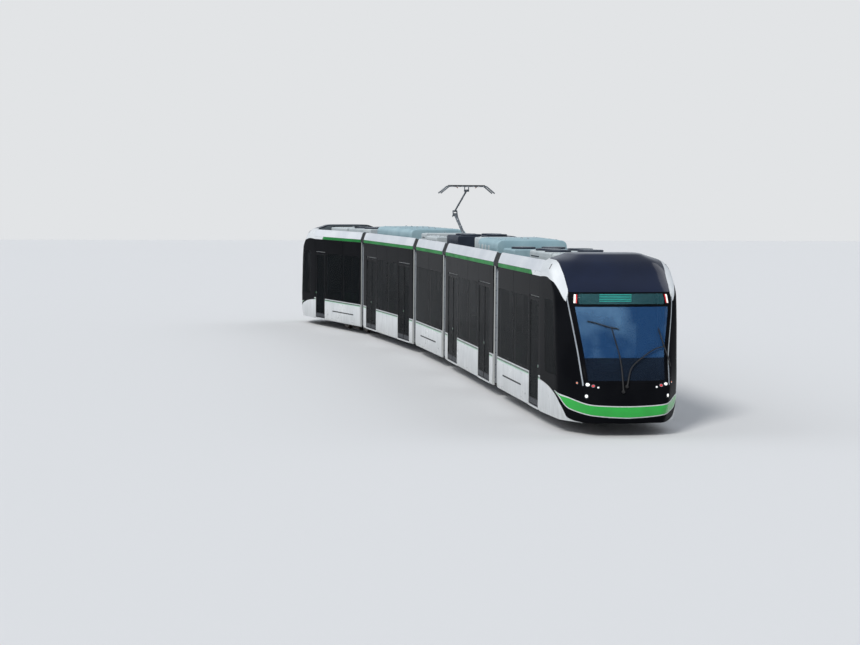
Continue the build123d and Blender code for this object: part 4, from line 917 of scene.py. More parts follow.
def is_double(d0, d1):
    """Whether a doorway has two leaves."""
    return d1 - d0 > 1.2


def leaves_of(s):
    """Both ends along x of every door leaf of a side."""
    out = []
    for d0, d1 in s.doors:
        middle = (d0 + d1) / 2
        first, last = d0 + LEAF_GAP, d1 - LEAF_GAP
        out += ([(first, middle - 0.005), (middle + 0.005, last)] if is_double(d0, d1)
                else [(first, last)])
    return out


def doors(s):
    """Door leaves with kick plates, edge rubbers, buttons and grab rails."""
    leaf = Shape()
    for a, b in leaves_of(s):
        leaf.slab("black_gloss", rounded(a, b, 0.310, 2.676, 0.018), 1.284, 1.3215, lip=0.005,
                  holes=[rounded(a + 0.067, b - 0.067, 0.477, 2.603, 0.051)])
        leaf.slab("cab_trim", rounded(a + 0.03, b - 0.03, 0.335, 0.455, 0.012, 3), 1.3210,
                  1.3235, lip=0.001)
        leaf.slab("rubber", rounded(a + 0.06, b - 0.06, 0.470, 2.610, 0.056), 1.3212, 1.3228,
                  holes=[leaf_pane(a, b)], lip=0.0006)
        leaf.tube("pole_steel", [(a + 0.035, y, z) for y, z in (
            (1.284, 0.90), (1.262, 0.93), (1.250, 0.98), (1.250, 1.80), (1.262, 1.85),
            (1.284, 1.88))], 0.012)
    for d0, d1 in s.doors:
        middle = (d0 + d1) / 2
        seals = [(d0 + 0.001, d0 + LEAF_GAP), (d1 - LEAF_GAP, d1 - 0.001)]
        if is_double(d0, d1):
            seals.append((middle - 0.0045, middle + 0.0045))
        for x0, x1 in seals:
            leaf.slab("rubber", rounded(x0, x1, 0.312, 2.674), 1.290, 1.3175)
        button = (middle + 0.038 if is_double(d0, d1) else d1 - 0.045, 0, 1.20)
        leaf.lathe("silver_trim", [(0.020, 1.319), (0.030, 1.3215), (0.030, 1.326),
                                   (0.024, 1.3285)], button, "y", 20)
        leaf.lathe("green_paint", [(0.012, 1.324), (0.019, 1.3275), (0.019, 1.330),
                                   (0.010, 1.3315)], button, "y", 16)
    leaf.mirror()
    leaf.fit(s, "leaves", "door_paint", 30, ("doors",))


for s in SECTIONS:
    side_walls(s)
    windows(s)
    if s.doors:
        doors(s)


# ---------------------------------------------------------------- roof
def lid(shape, finish, x, y, z):
    """A raised cover with four catches and a lifting bar."""
    shape.box(finish, x, y, (z, z + 0.018), 0.006, r=0.03)
    for u in (x[0] + 0.06, x[1] - 0.06):
        for v in (y[0] + 0.06, y[1] - 0.06):
            shape.lathe("silver_trim", [(0.012, 0.01), (0.016, 0.02), (0.014, 0.026),
                                        (0.006, 0.028)], (u, v, z), "z", 10)
    cx, cy = sum(x) / 2, sum(y) / 2
    shape.tube("silver_trim", [(cx + u, cy, z + v) for u, v in (
        (-0.09, 0.012), (-0.085, 0.045), (0.085, 0.045), (0.09, 0.012))], 0.007, 8)


def fan(shape, x, y, z, r):
    """A roof fan: ring, hub, blades and guard wires."""
    shape.lathe("equipment_navy", [(r, -0.005), (r + 0.03, 0.01), (r + 0.028, 0.045),
                                   (r - 0.004, 0.05), (r - 0.012, 0.005)], (x, y, z), "z", 32)
    shape.lathe("cab_trim", [(0.05, 0), (0.06, 0.01), (0.055, 0.035), (0.02, 0.04)], (x, y, z),
                "z", 16)
    for c, d in circle(7, 1):
        grid = [[(x + c * q - d * w, y + d * q + c * w, z + 0.022 - w * 0.35)
                 for w in (-0.05, 0, 0.05)] for q in (0.05, r * 0.5, r * 0.95)]
        shape.sheet("cab_trim", grid, 0.004, flip=True)
    for u, v in circle(8, r + 0.012)[:4]:
        shape.tube("silver_trim", [(x - u, y - v, z + 0.046), (x, y, z + 0.056),
                                   (x + u, y + v, z + 0.046)], 0.004, 6)
    for q in (0.35, 0.68):
        ring = [(x + u, y + v, z + 0.056 - 0.01 * q) for u, v in circle(24, r * q)]
        shape.tube("silver_trim", ring, 0.004, 6, closed=True)


def roof_box(shape, finish, x0, x1, y0, y1, top, bevel, style, ribs=()):
    """A roof container with eased edges, plinth, ribs, side louvres and covers or fans on top."""
    c, low = bevel, 3.196
    height = top - c - low
    sides = ((y0, -1), (y1, 1))
    outline = [(y0, low), (y1, low)]
    for cy, a in ((y1 - c, 0), (y0 + c, 90)):
        outline += [(cy + c * cos(radians(a + 15 * k)), top - c + c * sin(radians(a + 15 * k)))
                    for k in range(7)]
    shape.bar(finish, outline, x0, x1, "x", 0.02)
    shape.box("roof_grey", (x0 + 0.03, x1 - 0.03), (y0 + 0.04, y1 - 0.04), (DECK, 3.20))
    for x in np.linspace(x0 + 0.12, x1 - 0.12, max(2, int((x1 - x0) / 0.8))):
        for y, way in sides:
            shape.box("equipment_navy", (x - 0.04, x + 0.04), sorted((y, y + 0.05 * way)),
                      (3.16, 3.22))
            shape.lathe("silver_trim", [(0.008, 3.215), (0.014, 3.221), (0.014, 3.232),
                                        (0.008, 3.235)], (x, y + 0.03 * way, 0), "z", 8)
    for x in ribs:
        for y, way in sides:
            shape.box("roof_box_light", (x - 0.10, x + 0.10),
                      sorted((y - 0.01 * way, y + 0.014 * way)),
                      (low + 0.02, low + height - 0.01))
    panels = np.linspace(x0 + 0.1, x1 - 0.1, max(2, int((x1 - x0) / 0.75) + 1))
    for i, (a, b) in enumerate(zip(panels[:-1] + 0.03, panels[1:] - 0.03)):
        for y, way in sides:
            if style == "louvres" or (style == "fans" and i % 2 == 0):
                for k in range(6):
                    z = low + 0.10 + (height - 0.18) * k / 5
                    shape.slab("equipment_navy" if k % 2 else finish,
                               rounded(a + 0.04, b - 0.04, z - 0.012, z + 0.012, 0.006, 2),
                               y, y + way * 0.012, lip=0.003)
            else:
                shape.slab(finish, rounded(a, b, low + 0.06, low + height - 0.05, 0.03, 3),
                           y - way * 0.004, y + way * 0.006, lip=0.003)
        if style == "fans" and min(b - a, y1 - y0) > 0.45:
            for y in ((y0 + y1) / 2 - 0.38, (y0 + y1) / 2 + 0.38):
                fan(shape, (a + b) / 2, y, top - 0.002, min((b - a) / 2 - 0.03, 0.27))
        else:
            lid(shape, finish, (a, b), (y0 + c + 0.03, y1 - c - 0.03), top - 0.006)


# Roof containers: finish, x0, x1, y0, y1, top, bevel, style
CAB_GEAR = [("roof_box_light", 0.90, 2.95, -0.70, 0.70, 3.585, 0.05, "fans"),
            ("roof_box_light", 3.15, 4.67, -0.70, 0.70, 3.572, 0.05, "lids")]
RIBBED = ("roof_box_paint", -0.80, 1.67, -0.90, 0.90, 3.72, 0.15, "lids")
GEAR = {
    "front_cab": CAB_GEAR, "rear_cab": CAB_GEAR,
    "front_saloon": [("roof_box_light", -1.50, -0.85, -0.86, 0.86, 3.712, 0.04, "lids"), RIBBED,
                     ("roof_box_paint", 1.75, 3.00, -0.76, 0.76, 3.532, 0.05, "fans")],
    "rear_saloon": [("roof_box_paint", -3.10, 1.47, -0.90, 0.90, 3.71, 0.15, "lids"),
                    ("roof_box_light", 1.95, 2.50, -0.70, 0.70, 3.612, 0.04, "louvres")],
    "middle_car": [("roof_box_light", -1.85, -0.24, -1.04, -0.64, 3.585, 0.04, "louvres"),
                   ("roof_box_light", -1.85, -0.24, 0.64, 1.04, 3.585, 0.04, "louvres"),
                   ("equipment_navy", 0.30, 1.80, -0.85, 0.85, 3.672, 0.05, "fans")],
}


def roof(s):
    """Roof boxes, then cable runs, walkways and lifting eyes, then the ceiling."""
    gear = Shape()
    for row in GEAR[s.name]:
        roof_box(gear, *row, row[1] + 0.18 + 0.42 * np.arange(4) if row is RIBBED else ())
    gear.fit(s, "roof_boxes", "roof_box_paint", 30, ("roof_gear",))
    deck = Shape()
    for y, r in ((1.085, 0.022), (1.135, 0.016)):
        deck.tube("equipment_navy", [(s.low + 0.03, y, 3.20), (s.high - 0.05, y, 3.20)], r, 8)
    for x in np.arange(s.low + 0.2, s.high - 0.1, 0.7):
        deck.box("silver_trim", (x - 0.015, x + 0.015), (1.055, 1.165), (DECK, 3.180), 0.003)
    for x in (s.low + 0.28, s.high - 0.30):
        ring = [(x + u, 1.02, 3.215 + v) for u, v in circle(16, 0.045)]
        deck.tube("marker_orange", ring, 0.011, 8, closed=True)
        deck.box("equipment_navy", (x - 0.05, x + 0.05), (0.985, 1.055), (DECK, 3.176), 0.003)
    deck.mirror()
    for x0, x1 in stretches(s.low + 0.05, s.high - 0.06, [row[1:3] for row in GEAR[s.name]]):
        if x1 - x0 > 0.12:
            for y in (-0.45, 0.0, 0.45):
                deck.box("roof_grey", (x0 + 0.02, x1 - 0.02), (y - 0.16, y + 0.16),
                         (DECK, 3.172), 0.003, r=0.02)
            for y in (-0.30, -0.22, 0.26):
                deck.tube("rubber", [(x0 - 0.02, y, 3.24), (x0 + 0.05, y, 3.19),
                                     (x1 - 0.05, y, 3.19), (x1 + 0.02, y, 3.24)], 0.018, 8)
    deck.fit(s, "roof_deck", "roof_box_paint")
    inside = Shape()
    for y in (-0.47, 0.47):
        inside.box("light_lens", (s.low + 0.15, s.high - 0.15), (y - 0.06, y + 0.06),
                   (2.672, 2.691), 0.005)
        for e in (-0.075, 0.067):
            inside.box("alu", (s.low + 0.14, s.high - 0.14), (y + e, y + e + 0.008),
                       (2.670, 2.691), 0.002)
    inside.slab("ceiling", rounded(s.low + 0.01, s.high - 0.01, -1.262, 1.262), 2.699, CEILING,
                "z")
    for x in np.arange(s.low + 0.5, s.high - 0.3, 1.1):
        inside.box("lining", (x - 0.11, x + 0.11), (-0.13, 0.13), (2.683, 2.691), 0.003, r=0.02)
    inside.fit(s, "ceiling", "cab_trim")


for s in SECTIONS:
    roof(s)


def bellows_path(half=1.24, foot=0.30, top=3.10, r=0.14):
    """Outline of the gangway from its left foot over the top to its right foot: (y, z)."""
    left = [(half, z) for z in np.linspace(foot, top - r, 12)]
    left += [(half - r + r * cos(a), top - r + r * sin(a)) for a in np.linspace(0, pi / 2, 7)[1:]]
    over = [(y, top) for y in np.linspace(half - r, r - half, 14)[1:-1]]
    return np.array(left + over + [(-y, z) for y, z in left[::-1]])


def gangway(name, a, xa, b, xb, mirrored=False):
    """Folded fabric between two sections, its clamp frames and the dark strips over the roof gap,
    their darkness painted shade.
    """

    def joined(path, t):
        """A path of (y, z) at share t of the way from section a to section b."""
        turn = -1 if mirrored else 1
        return ((1 - t) * np.array([a.place @ Vector((xa, y, z)) for y, z in path])
                + t * np.array([b.place @ Vector((xb, y * turn, z)) for y, z in path]))

    def soft(piece, finish, grid, depth, flip):
        shape = Shape()
        shape.sheet(finish, grid, depth, flip=bool(flip))
        o = shape.build(f"{name}_{piece}", Matrix.Identity(4), "bellows_rubber", angle=75)
        if piece == "bellows_outer":
            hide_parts(name + "_bellows")
        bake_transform(o)
    folds, steps = 11, 4
    last = folds * steps
    for layer, finish, inset, height in (("outer", "bellows_fabric", 0.0, 0.030),
                                         ("inner", "dark_fabric", 0.048, 0.016)):
        path = bellows_path(1.24 - inset, top=3.10 - inset)
        d = np.gradient(path, axis=0)
        d /= np.linalg.norm(d, axis=1, keepdims=True)
        out = np.stack([d[:, 1], -d[:, 0]], 1)
        rows = []
        for i in range(last + 1):
            wave = 0.5 + 0.5 * cos(2 * pi * i / steps)
            rows.append(joined(path - out * (height * wave if 0 < i < last else 0), i / last))
        grid = np.array(rows)
        away = grid[:, 5] - grid[:, -6]
        soft(f"bellows_{layer}", finish, grid, 0.004, (grid_normals(grid)[:, 5] * away).sum() < 0)
    # Dark strips over the gap between the fairings: their dark colour is painted shade for the
    # shadow in that gap.
    for side, tag in ((-1, "right"), (1, "left")):
        strip = [(y * side, z) for y, z in (
            (0.880, 3.140), (1.200, 3.142), (1.285, 3.150), (1.300, 3.180), (1.304, 3.246),
            (1.275, 3.325), (1.246, 3.400), (1.219, 3.470))]
        grid = np.array([joined(strip, t) for t in np.linspace(0, 1, 15)])
        away = np.array(a.place.to_3x3() @ Vector((0, side, 0.3)))
        soft(f"roof_gap_{tag}", "rubber", grid, 0.005, (grid_normals(grid) * away).sum() < 0)
    bolt = [(0.005, 0.0), (0.010, 0.020), (0.010, 0.026), (0.005, 0.029)]
    for section, x in ((a, xa), (b, xb)):
        frames = Shape()
        way = 1 if (section.low + section.high) / 2 < x else -1
        for z in np.arange(0.45, 3.0, 0.3):
            frames.lathe("cab_trim", [(r, way * u) for r, u in bolt][::way], (x, 1.250, z), "x", 8)
        frames.mirror()
        ring = np.concatenate([bellows_path(1.262, 0.302, 3.135, 0.15),
                               bellows_path(1.186, 0.302, 3.052, 0.11)[::-1]])
        frames.slab("alu", ring, x, x + way * 0.022, "x", lip=0.003)
        frames.build(f"{name}_clamp_{section.name}", section.place, "body_paint", section.name)


gangway("front", MIDDLE, MIDDLE.high, FRONT_SALOON, FRONT_SALOON.low)
gangway("front_cab", FRONT_SALOON, FRONT_SALOON.high, FRONT_CAB, FRONT_CAB.low)
gangway("rear", MIDDLE, MIDDLE.low, REAR_SALOON, REAR_SALOON.high)
gangway("rear_cab", REAR_SALOON, REAR_SALOON.low, REAR_CAB, REAR_CAB.low, True)


# ---------------------------------------------------------------- interior
# Seat profiles: distance from the back, height over the cushion
SEAT_SHELL = [(0.0, -0.085), (0.36, -0.075), (0.42, -0.055), (0.432, -0.025), (0.420, -0.002),
              (0.38, 0.004), (0.24, -0.012), (0.11, -0.008), (0.078, 0.020), (0.066, 0.10),
              (0.058, 0.30), (0.045, 0.53), (0.032, 0.557), (0.004, 0.557), (0.0, 0.53)]
SEAT_PAD = [(0.115, -0.010), (0.24, -0.014), (0.385, 0.001), (0.392, 0.009), (0.24, -0.004),
            (0.115, 0.0)]
BACK_PAD = [(0.060, 0.07), (0.076, 0.07), (0.067, 0.30), (0.056, 0.50), (0.044, 0.50),
            (0.052, 0.30)]
# Handle on a seat's back: y, height over the cushion
HANDLE = [(0.80, 0.545), (0.80, 0.60), (0.825, 0.625), (0.915, 0.625), (0.94, 0.60),
          (0.94, 0.545)]


def seat(shape, x, way, cushion, foot):
    """A seat of the left row with its back at x, facing ahead (way 1) or back (way -1)."""
    leg = [(0.02, foot - cushion), (0.23, foot - cushion), (0.30, -0.085), (0.02, -0.085)]
    for finish, profile, y0, y1, lip in (
            ("cab_trim", leg, 0.80, 1.16, 0.006), ("seat_shell", SEAT_SHELL, 0.765, 1.195, 0.014),
            ("seat_fabric", SEAT_PAD, 0.80, 1.16, 0.003),
            ("seat_fabric", BACK_PAD, 0.80, 1.16, 0.003)):
        shape.bar(finish, [(x + way * u, cushion + v) for u, v in profile], y0, y1, "y", lip)
    shape.tube("pole_steel", [(x + way * 0.02, y, cushion + v) for y, v in HANDLE], 0.010, 8)


def seats(s):
    """Moulded seats with inserts and handles, poles, ceiling rails and glazed screens."""
    pole_x, pole_y, rail_z = 1.04, 0.55, 1.98
    shell = Shape()
    foot, cushion, floor_z = (0.35, 0.78, 0.35) if s in SALOONS else (0.70, 0.81, 0.44)
    centre = s.bogie or 0.0
    for way in (-1, 1):
        for pair in (-1, 1):
            seat(shell, centre + pair * 0.55 + way * 0.03, way, cushion, foot)
    for x in (centre - pole_x, centre + pole_x):
        pole = (x, pole_y, 0)
        shell.tube("pole_steel", [(x, pole_y, floor_z - 0.002), (x, pole_y, CEILING)], 0.017, 12)
        for z, flange in ((floor_z, [(0.02, 0), (0.040, 0.004), (0.036, 0.012), (0.020, 0.034)]),
                          (2.655, [(0.020, 0), (0.036, 0.022), (0.040, 0.030), (0.02, 0.034)])):
            shell.lathe("pole_steel", flange, (x, pole_y, z), "z", 16)
        shell.lathe("seat_fabric", [(0.0172, 1.10), (0.021, 1.105), (0.021, 1.315),
                                    (0.0172, 1.32)], pole, "z", 12)
        shell.lathe("silver_trim", [(0.018, 1.955), (0.026, 1.962), (0.026, 1.998),
                                    (0.018, 2.005)], pole, "z", 12)
        shell.slab("side_glass", rounded(0.60, 1.235, foot + 0.09, 1.62, 0.05), x + 0.004,
                   x - 0.004, "x", lip=0.002)
        shell.tube("pole_steel", [(x, 0.60, foot + 0.07), (x, 0.595, 0.95), (x, 0.595, 1.60),
                                  (x, 0.63, 1.64), (x, 1.24, 1.64)], 0.012, 8)
        shell.tube("pole_steel", [(x, pole_y, 1.30), (x, 0.597, 1.30)], 0.009, 8)
    shell.tube("pole_steel", [(centre - pole_x, pole_y, rail_z), (centre + pole_x, pole_y, rail_z)],
               0.015)
    shell.mirror()
    shell.fit(s, "seating", "seat_plastic", 40, ("seats",))


def floors(s):
    """Sheet flooring, wheel box lining, heater strips and door edges over the floor node."""
    cover = Shape()
    if s in SALOONS:
        for x0, x1 in stretches(s.low + 0.1, s.high - 0.1, s.doors):
            cover.box("alu", (x0 + 0.05, x1 - 0.05), (1.236, 1.2675), (0.355, 0.43))
    else:
        low, high = s.bogie - WHEEL_BOX, s.bogie + WHEEL_BOX
        cover.slab("lining", rounded(low, high, 0.445, 0.698, 0.02), 0.601, 0.595, lip=0.002)
        cover.box("alu", (low, high), (0.592, 0.612), (0.696, 0.706), 0.002)
        for x, way in ((low, 1), (high, -1)):
            cover.slab("lining", rounded(0.603, 1.258, 0.36, 0.698, 0.02), x + way * 0.002,
                       x - way * 0.004, "x", lip=0.002)
    for d0, d1 in s.doors:
        cover.box("marker_orange", (d0 + 0.03, d1 - 0.03), (1.165, 1.20), (0.3525, 0.3555), 0.001)
    cover.mirror()
    if s in SALOONS:
        cover.slab("vinyl_floor", rounded(-3.0, 3.0, -1.260, 1.260, 0.03), 0.3495, 0.3535, "z",
                   lip=0.001)
    else:
        ramp = high + 0.45 if s in CABS else s.high - 0.07
        first = [(s.low + 0.012, 0.3505), (s.low + 0.07, 0.3505), (low, 0.4405)]
        last = [(high, 0.4405), (ramp, 0.3505)] + ([(s.high, 0.3505)] if s in CABS else [])
        over = [(low, 0.4405), (high, 0.4405)]
        for run, half in ((first, 1.258), (over, 0.592), (last, 1.258)):
            outline = [(x, z - 0.001) for x, z in run] + [(x, z + 0.003) for x, z in run[::-1]]
            cover.slab("vinyl_floor", outline, -half, half, "y")
    cover.fit(s, "flooring", "underframe")


DESK = [(5.83, 0.352), (6.27, 0.352), (6.44, 1.06), (6.48, 1.17), (6.47, 1.22), (6.40, 1.30),
        (6.36, 1.315), (6.02, 1.235), (5.985, 1.215), (5.985, 1.185), (6.06, 1.150),
        (6.06, 0.92), (5.95, 0.60)]
DRIVER_SEAT = [(5.08, 0.735), (5.40, 0.735), (5.57, 0.83), (5.60, 0.87), (5.59, 0.91),
               (5.54, 0.925), (5.22, 0.90), (5.17, 0.93), (5.145, 1.10), (5.095, 1.48),
               (5.075, 1.63), (5.05, 1.648), (5.00, 1.648), (4.985, 1.62), (5.02, 1.20),
               (5.06, 0.80)]
# Bars across the cab: finish, profile of (x, z), y0, y1, lip
CAB_BARS = [
    ("desk_top", DESK, -0.598, 0.598, 0.02),
    ("seat_shell", DRIVER_SEAT, -0.215, 0.215, 0.03),
    ("seat_fabric", [(5.24, 0.897), (5.53, 0.920), (5.53, 0.932), (5.24, 0.910)], -0.16, 0.16,
     0.004),
    ("seat_fabric", [(5.156, 1.00), (5.168, 1.00), (5.112, 1.42), (5.098, 1.42)], -0.16, 0.16,
     0.004),
    ("cab_trim", rounded(6.062, 6.178, 2.642, 2.898, 0.015, 3), -0.798, 0.798, 0.01),
    ("led_board", rounded(6.176, 6.183, 2.668, 2.872, 0.003, 2), -0.77, 0.77, 0.002),
]
CAB_PANES = ((0.10, 0.78), (-1.05, -0.15))          # y0 and y1 of the partition's panes
SIGN_ROWS, SIGN_COLUMNS = range(0, 9, 2), range(18, 46)   # the lamps of the sign that are lit


def driver_place(cab):
    """Partition, desk with screens and levers, driver's seat and the sign box with its board."""
    f = Shape()
    f.bar("cab_trim", [(5.14, 1.10), (5.17, 1.075), (5.45, 1.085), (5.47, 1.10), (5.45, 1.125),
                       (5.16, 1.13)], 0.222, 0.278, "y", 0.01)
    f.tube("silver_trim", [(5.15, 0.20, 1.10), (5.15, 0.25, 1.10)], 0.012, 8)
    f.bar("silver_trim", [(6.06, 2.862), (6.06, 2.898), (5.338, 2.898), (5.338, 3.583),
                          (5.302, 3.583), (5.302, 2.862)], 0.442, 0.478, "y", 0.003)
    f.tube("cab_trim", [(5.318, 0.45, 2.875), (5.45, 0.45, 2.70), (5.70, 0.45, 2.585)], 0.012, 8)
    f.mirror()
    f.slab("cab_trim", rounded(-1.245, 1.245, 0.362, 2.688, 0.04), 4.800, 4.828, "x", lip=0.004,
           holes=[rounded(y0, y1, 1.20, 2.45, 0.06) for y0, y1 in CAB_PANES])
    for y0, y1 in CAB_PANES:
        f.slab("side_glass", rounded(y0 + 0.001, y1 - 0.001, 1.201, 2.449, 0.059), 4.810, 4.818,
               "x")
    f.slab("rubber", rounded(0.02, 0.86, 0.375, 2.56, 0.03), 4.799, 4.796, "x",
           holes=[rounded(0.028, 0.852, 0.383, 2.552, 0.024)])
    f.tube("pole_steel", [(4.800, 0.12, 1.02), (4.760, 0.12, 1.03), (4.760, 0.12, 1.16),
                          (4.800, 0.12, 1.17)], 0.009, 8)
    for finish, profile, y0, y1, lip in CAB_BARS:
        f.bar(finish, profile, y0, y1, "y", lip)
    for y0, y1 in ((-0.45, -0.15), (-0.14, 0.18), (0.19, 0.49)):
        f.bar("cab_trim", [(6.05, 1.238), (6.075, 1.238), (6.145, 1.395), (6.115, 1.40)], y0, y1,
              "y", 0.006)
        f.bar("led_board", [(6.056, 1.262), (6.060, 1.262), (6.113, 1.386), (6.109, 1.388)],
              y0 + 0.014, y1 - 0.014, "y", 0.001)
        for k, share in enumerate((0.9, 0.5, 0.75, 0.35)):
            u = k / 4 + 0.12
            x, z = 6.0545 + 0.053 * u, 1.262 + 0.124 * u
            f.bar("led_teal", [(x, z), (x + 0.003, z), (x + 0.0065, z + 0.008),
                               (x + 0.0035, z + 0.008)], y0 + 0.03,
                  y0 + 0.03 + (y1 - y0 - 0.06) * share, "y", 0.0005)
    for y, r in ((-0.44, 0.020), (0.47, 0.024)):
        f.lathe("silver_trim", [(0.030, 1.215), (0.036, 1.228), (0.030, 1.240), (0.010, 1.245)],
                (6.02, y, 0), "z", 16)
        f.tube("pole_steel", [(6.02, y, 1.235), (6.01, y, 1.29), (6.005, y, 1.315)], 0.009, 8)
        f.lathe("cab_trim", [(0.008, 1.305), (r, 1.315), (r, 1.345), (0.008, 1.356)],
                (6.003, y, 0), "z", 14)
    for k in range(10):
        f.lathe(("lens_red", "lens_orange", "silver_trim", "lens_white")[k % 4],
                [(0.008, 1.222), (0.011, 1.226), (0.011, 1.236), (0.006, 1.239)],
                (6.005, -0.20 + 0.045 * k, 0), "z", 10)
    f.lathe("cab_trim", [(0.18, 0.352), (0.19, 0.365), (0.16, 0.385), (0.06, 0.40),
                         (0.05, 0.42), (0.05, 0.70), (0.12, 0.72), (0.12, 0.735)],
            (5.28, 0, 0), "z", 24)
    for row in SIGN_ROWS:
        z = 2.700 + row * 0.017
        for k in SIGN_COLUMNS:
            y = 0.70 - k * 0.0245
            f.slab("led_teal", rounded(y - 0.009, y + 0.009, z - 0.0065, z + 0.0065), 6.182,
                   6.186, "x")
    f.box("desk_top", (5.62, 5.80), (0.30, 0.58), (2.55, 2.588), 0.006, r=0.03)
    f.fit(cab, "driver_place", "cab_trim", 35, ("desk_and_seat",))


for s in SECTIONS:
    seats(s)
    floors(s)
for cab in CABS:
    driver_place(cab)


# ---------------------------------------------------------------- running gear
def ring_of_bolts(shape, finish, centre, y, radius, count, size=0.008):
    """Bolt heads round a centre of (x, z), their seats at y."""
    x, z = centre
    for u, v in circle(count, radius):
        shape.lathe(finish, [(size * 0.7, -0.002), (size, 0.001), (size, 0.007),
                             (size * 0.6, 0.009)], (x + u, y, z + v), "y", 6)


def bogie(s):
    """Coil springs, axlebox covers, dampers and brake details on a section's bogie."""
    d = Shape()
    x = s.bogie
    spring = [(x + u, 0.99 + v, 0.385 + 0.255 * f) for f, u, v in coil(6 * 14, 14, 0.132)]
    d.tube("equipment_navy", spring, 0.014, 6)
    for z in (0.368, 0.650):
        d.lathe("underframe", [(0.121, 0), (0.150, 0.003), (0.150, 0.014), (0.121, 0.018)],
                (x, 0.99, z), "z", 24)
    for end in (-1, 1):
        axle = x + end * HALF_BASE
        d.lathe("equipment_navy", [(0.020, 1.043), (0.072, 1.046), (0.070, 1.060),
                                   (0.030, 1.066)], (axle, 0, WHEEL_Z), "y", 24)
        ring_of_bolts(d, "silver_trim", (axle, WHEEL_Z), 1.060, 0.054, 6, 0.007)
        for finish, radius, n, points in (
                ("silver_trim", 0.020, 10, ((0.30, 1.060, 0.325), (0.52, 1.062, 0.365))),
                ("equipment_navy", 0.030, 10, ((0.46, 1.062, 0.354), (0.70, 1.063, 0.395))),
                ("rubber", 0.011, 8, ((0.14, 0.72, 0.345), (0.30, 0.80, 0.385),
                                      (0.55, 0.90, 0.372), (0.72, 0.94, 0.355)))):
            d.tube(finish, [(x + end * u, y, z) for u, y, z in points], radius, n)
        d.box("underframe", (x + end * 0.60 - 0.05, x + end * 0.60 + 0.05), (0.925, 0.945),
              (0.18, 0.30))
    for u in (-0.2, -0.1, 0.0, 0.1, 0.2):
        d.box("steel", (x + u - 0.044, x + u + 0.044), (0.722, 0.783), (0.036, 0.052))
    d.mirror()
    d.fit(s, "bogie_details", "underframe")
    for end, tag in ((-1, "inner"), (1, "outer")):
        w = Shape()
        hub = (x + end * HALF_BASE, 0, WHEEL_Z)
        for finish, n, profile in (
                ("tyre_steel", 48, [(0.262, 0.7985), (0.296, 0.7985), (0.294, 0.8035),
                                    (0.266, 0.8035)]),
                ("silver_trim", 28, [(0.020, 0.795), (0.082, 0.797), (0.080, 0.812),
                                     (0.040, 0.820)]),
                ("steel", 36, [(0.070, 0.305), (0.190, 0.305), (0.190, 0.325),
                               (0.070, 0.325)])):
            w.lathe(finish, profile, hub, "y", n)
        ring_of_bolts(w, "steel", hub[::2], 0.812, 0.062, 8)
        ring_of_bolts(w, "equipment_navy", hub[::2], 0.324, 0.095, 8, 0.009)
        w.mirror()
        w.build(f"{s.name}_{tag}_wheel_details", s.place, "wheel_steel",
                f"{s.name}_{tag}_wheelset")


def under_boxes(s):
    """Equipment cases and air pipes under the floor between the bogies."""
    u = Shape()

    def case(x0, x1, y0, y1):
        u.box("equipment_navy", (x0, x1), (y0, y1), (0.170, 0.262), 0.012, r=0.03)
        for k in range(4):
            c = x0 + (x1 - x0) * (k + 0.5) / 4
            u.box("silver_trim", (c - 0.03, c + 0.03), (y0 - 0.006, y0 + 0.02), (0.20, 0.235),
                  0.003)
    for x0, x1 in ((-1.9, -0.8), (-0.6, 0.7), (0.9, 1.9)):
        case(x0, x1, 0.45, 1.10)
    u.tube("rubber", [(-2.6, 0.40, 0.235), (2.6, 0.40, 0.235)], 0.014, 8)
    u.mirror()
    case(-0.7, 0.7, -0.35, 0.35)
    u.fit(s, "under_boxes", "underframe")


for s in CABS + (MIDDLE,):
    bogie(s)
for s in SALOONS:
    under_boxes(s)


# ---------------------------------------------------------------- pantograph
def arm_band(shape, node, start, end, share):
    """A clamp round a pantograph arm, centred on the cut through the arm's own mesh."""
    inverse = MIDDLE.place.inverted()
    middle = start + (end - start) * share
    along = (end - start).normalized()
    mesh = frame["nodes"][node].data
    spots = [inverse @ v.co for v in mesh.vertices]
    hits = []
    for edge in mesh.edges:
        a, b = (spots[i] for i in edge.vertices)
        u, v = (a - middle).dot(along), (b - middle).dot(along)
        if u * v < 0:
            q = a + (b - a) * (u / (u - v))
            if (q - middle).length < 0.15:
                hits.append(q)
    centre = sum(hits, Vector()) / len(hits)
    r = sum((q - centre).length for q in hits) / len(hits) + 0.003
    across = Vector((0, 1, 0)).cross(along)
    ring = [centre + across * u + Vector((0, v, 0)) for u, v in circle(16, r)]
    shape.tube("silver_trim", ring, 0.006, 6, closed=True)


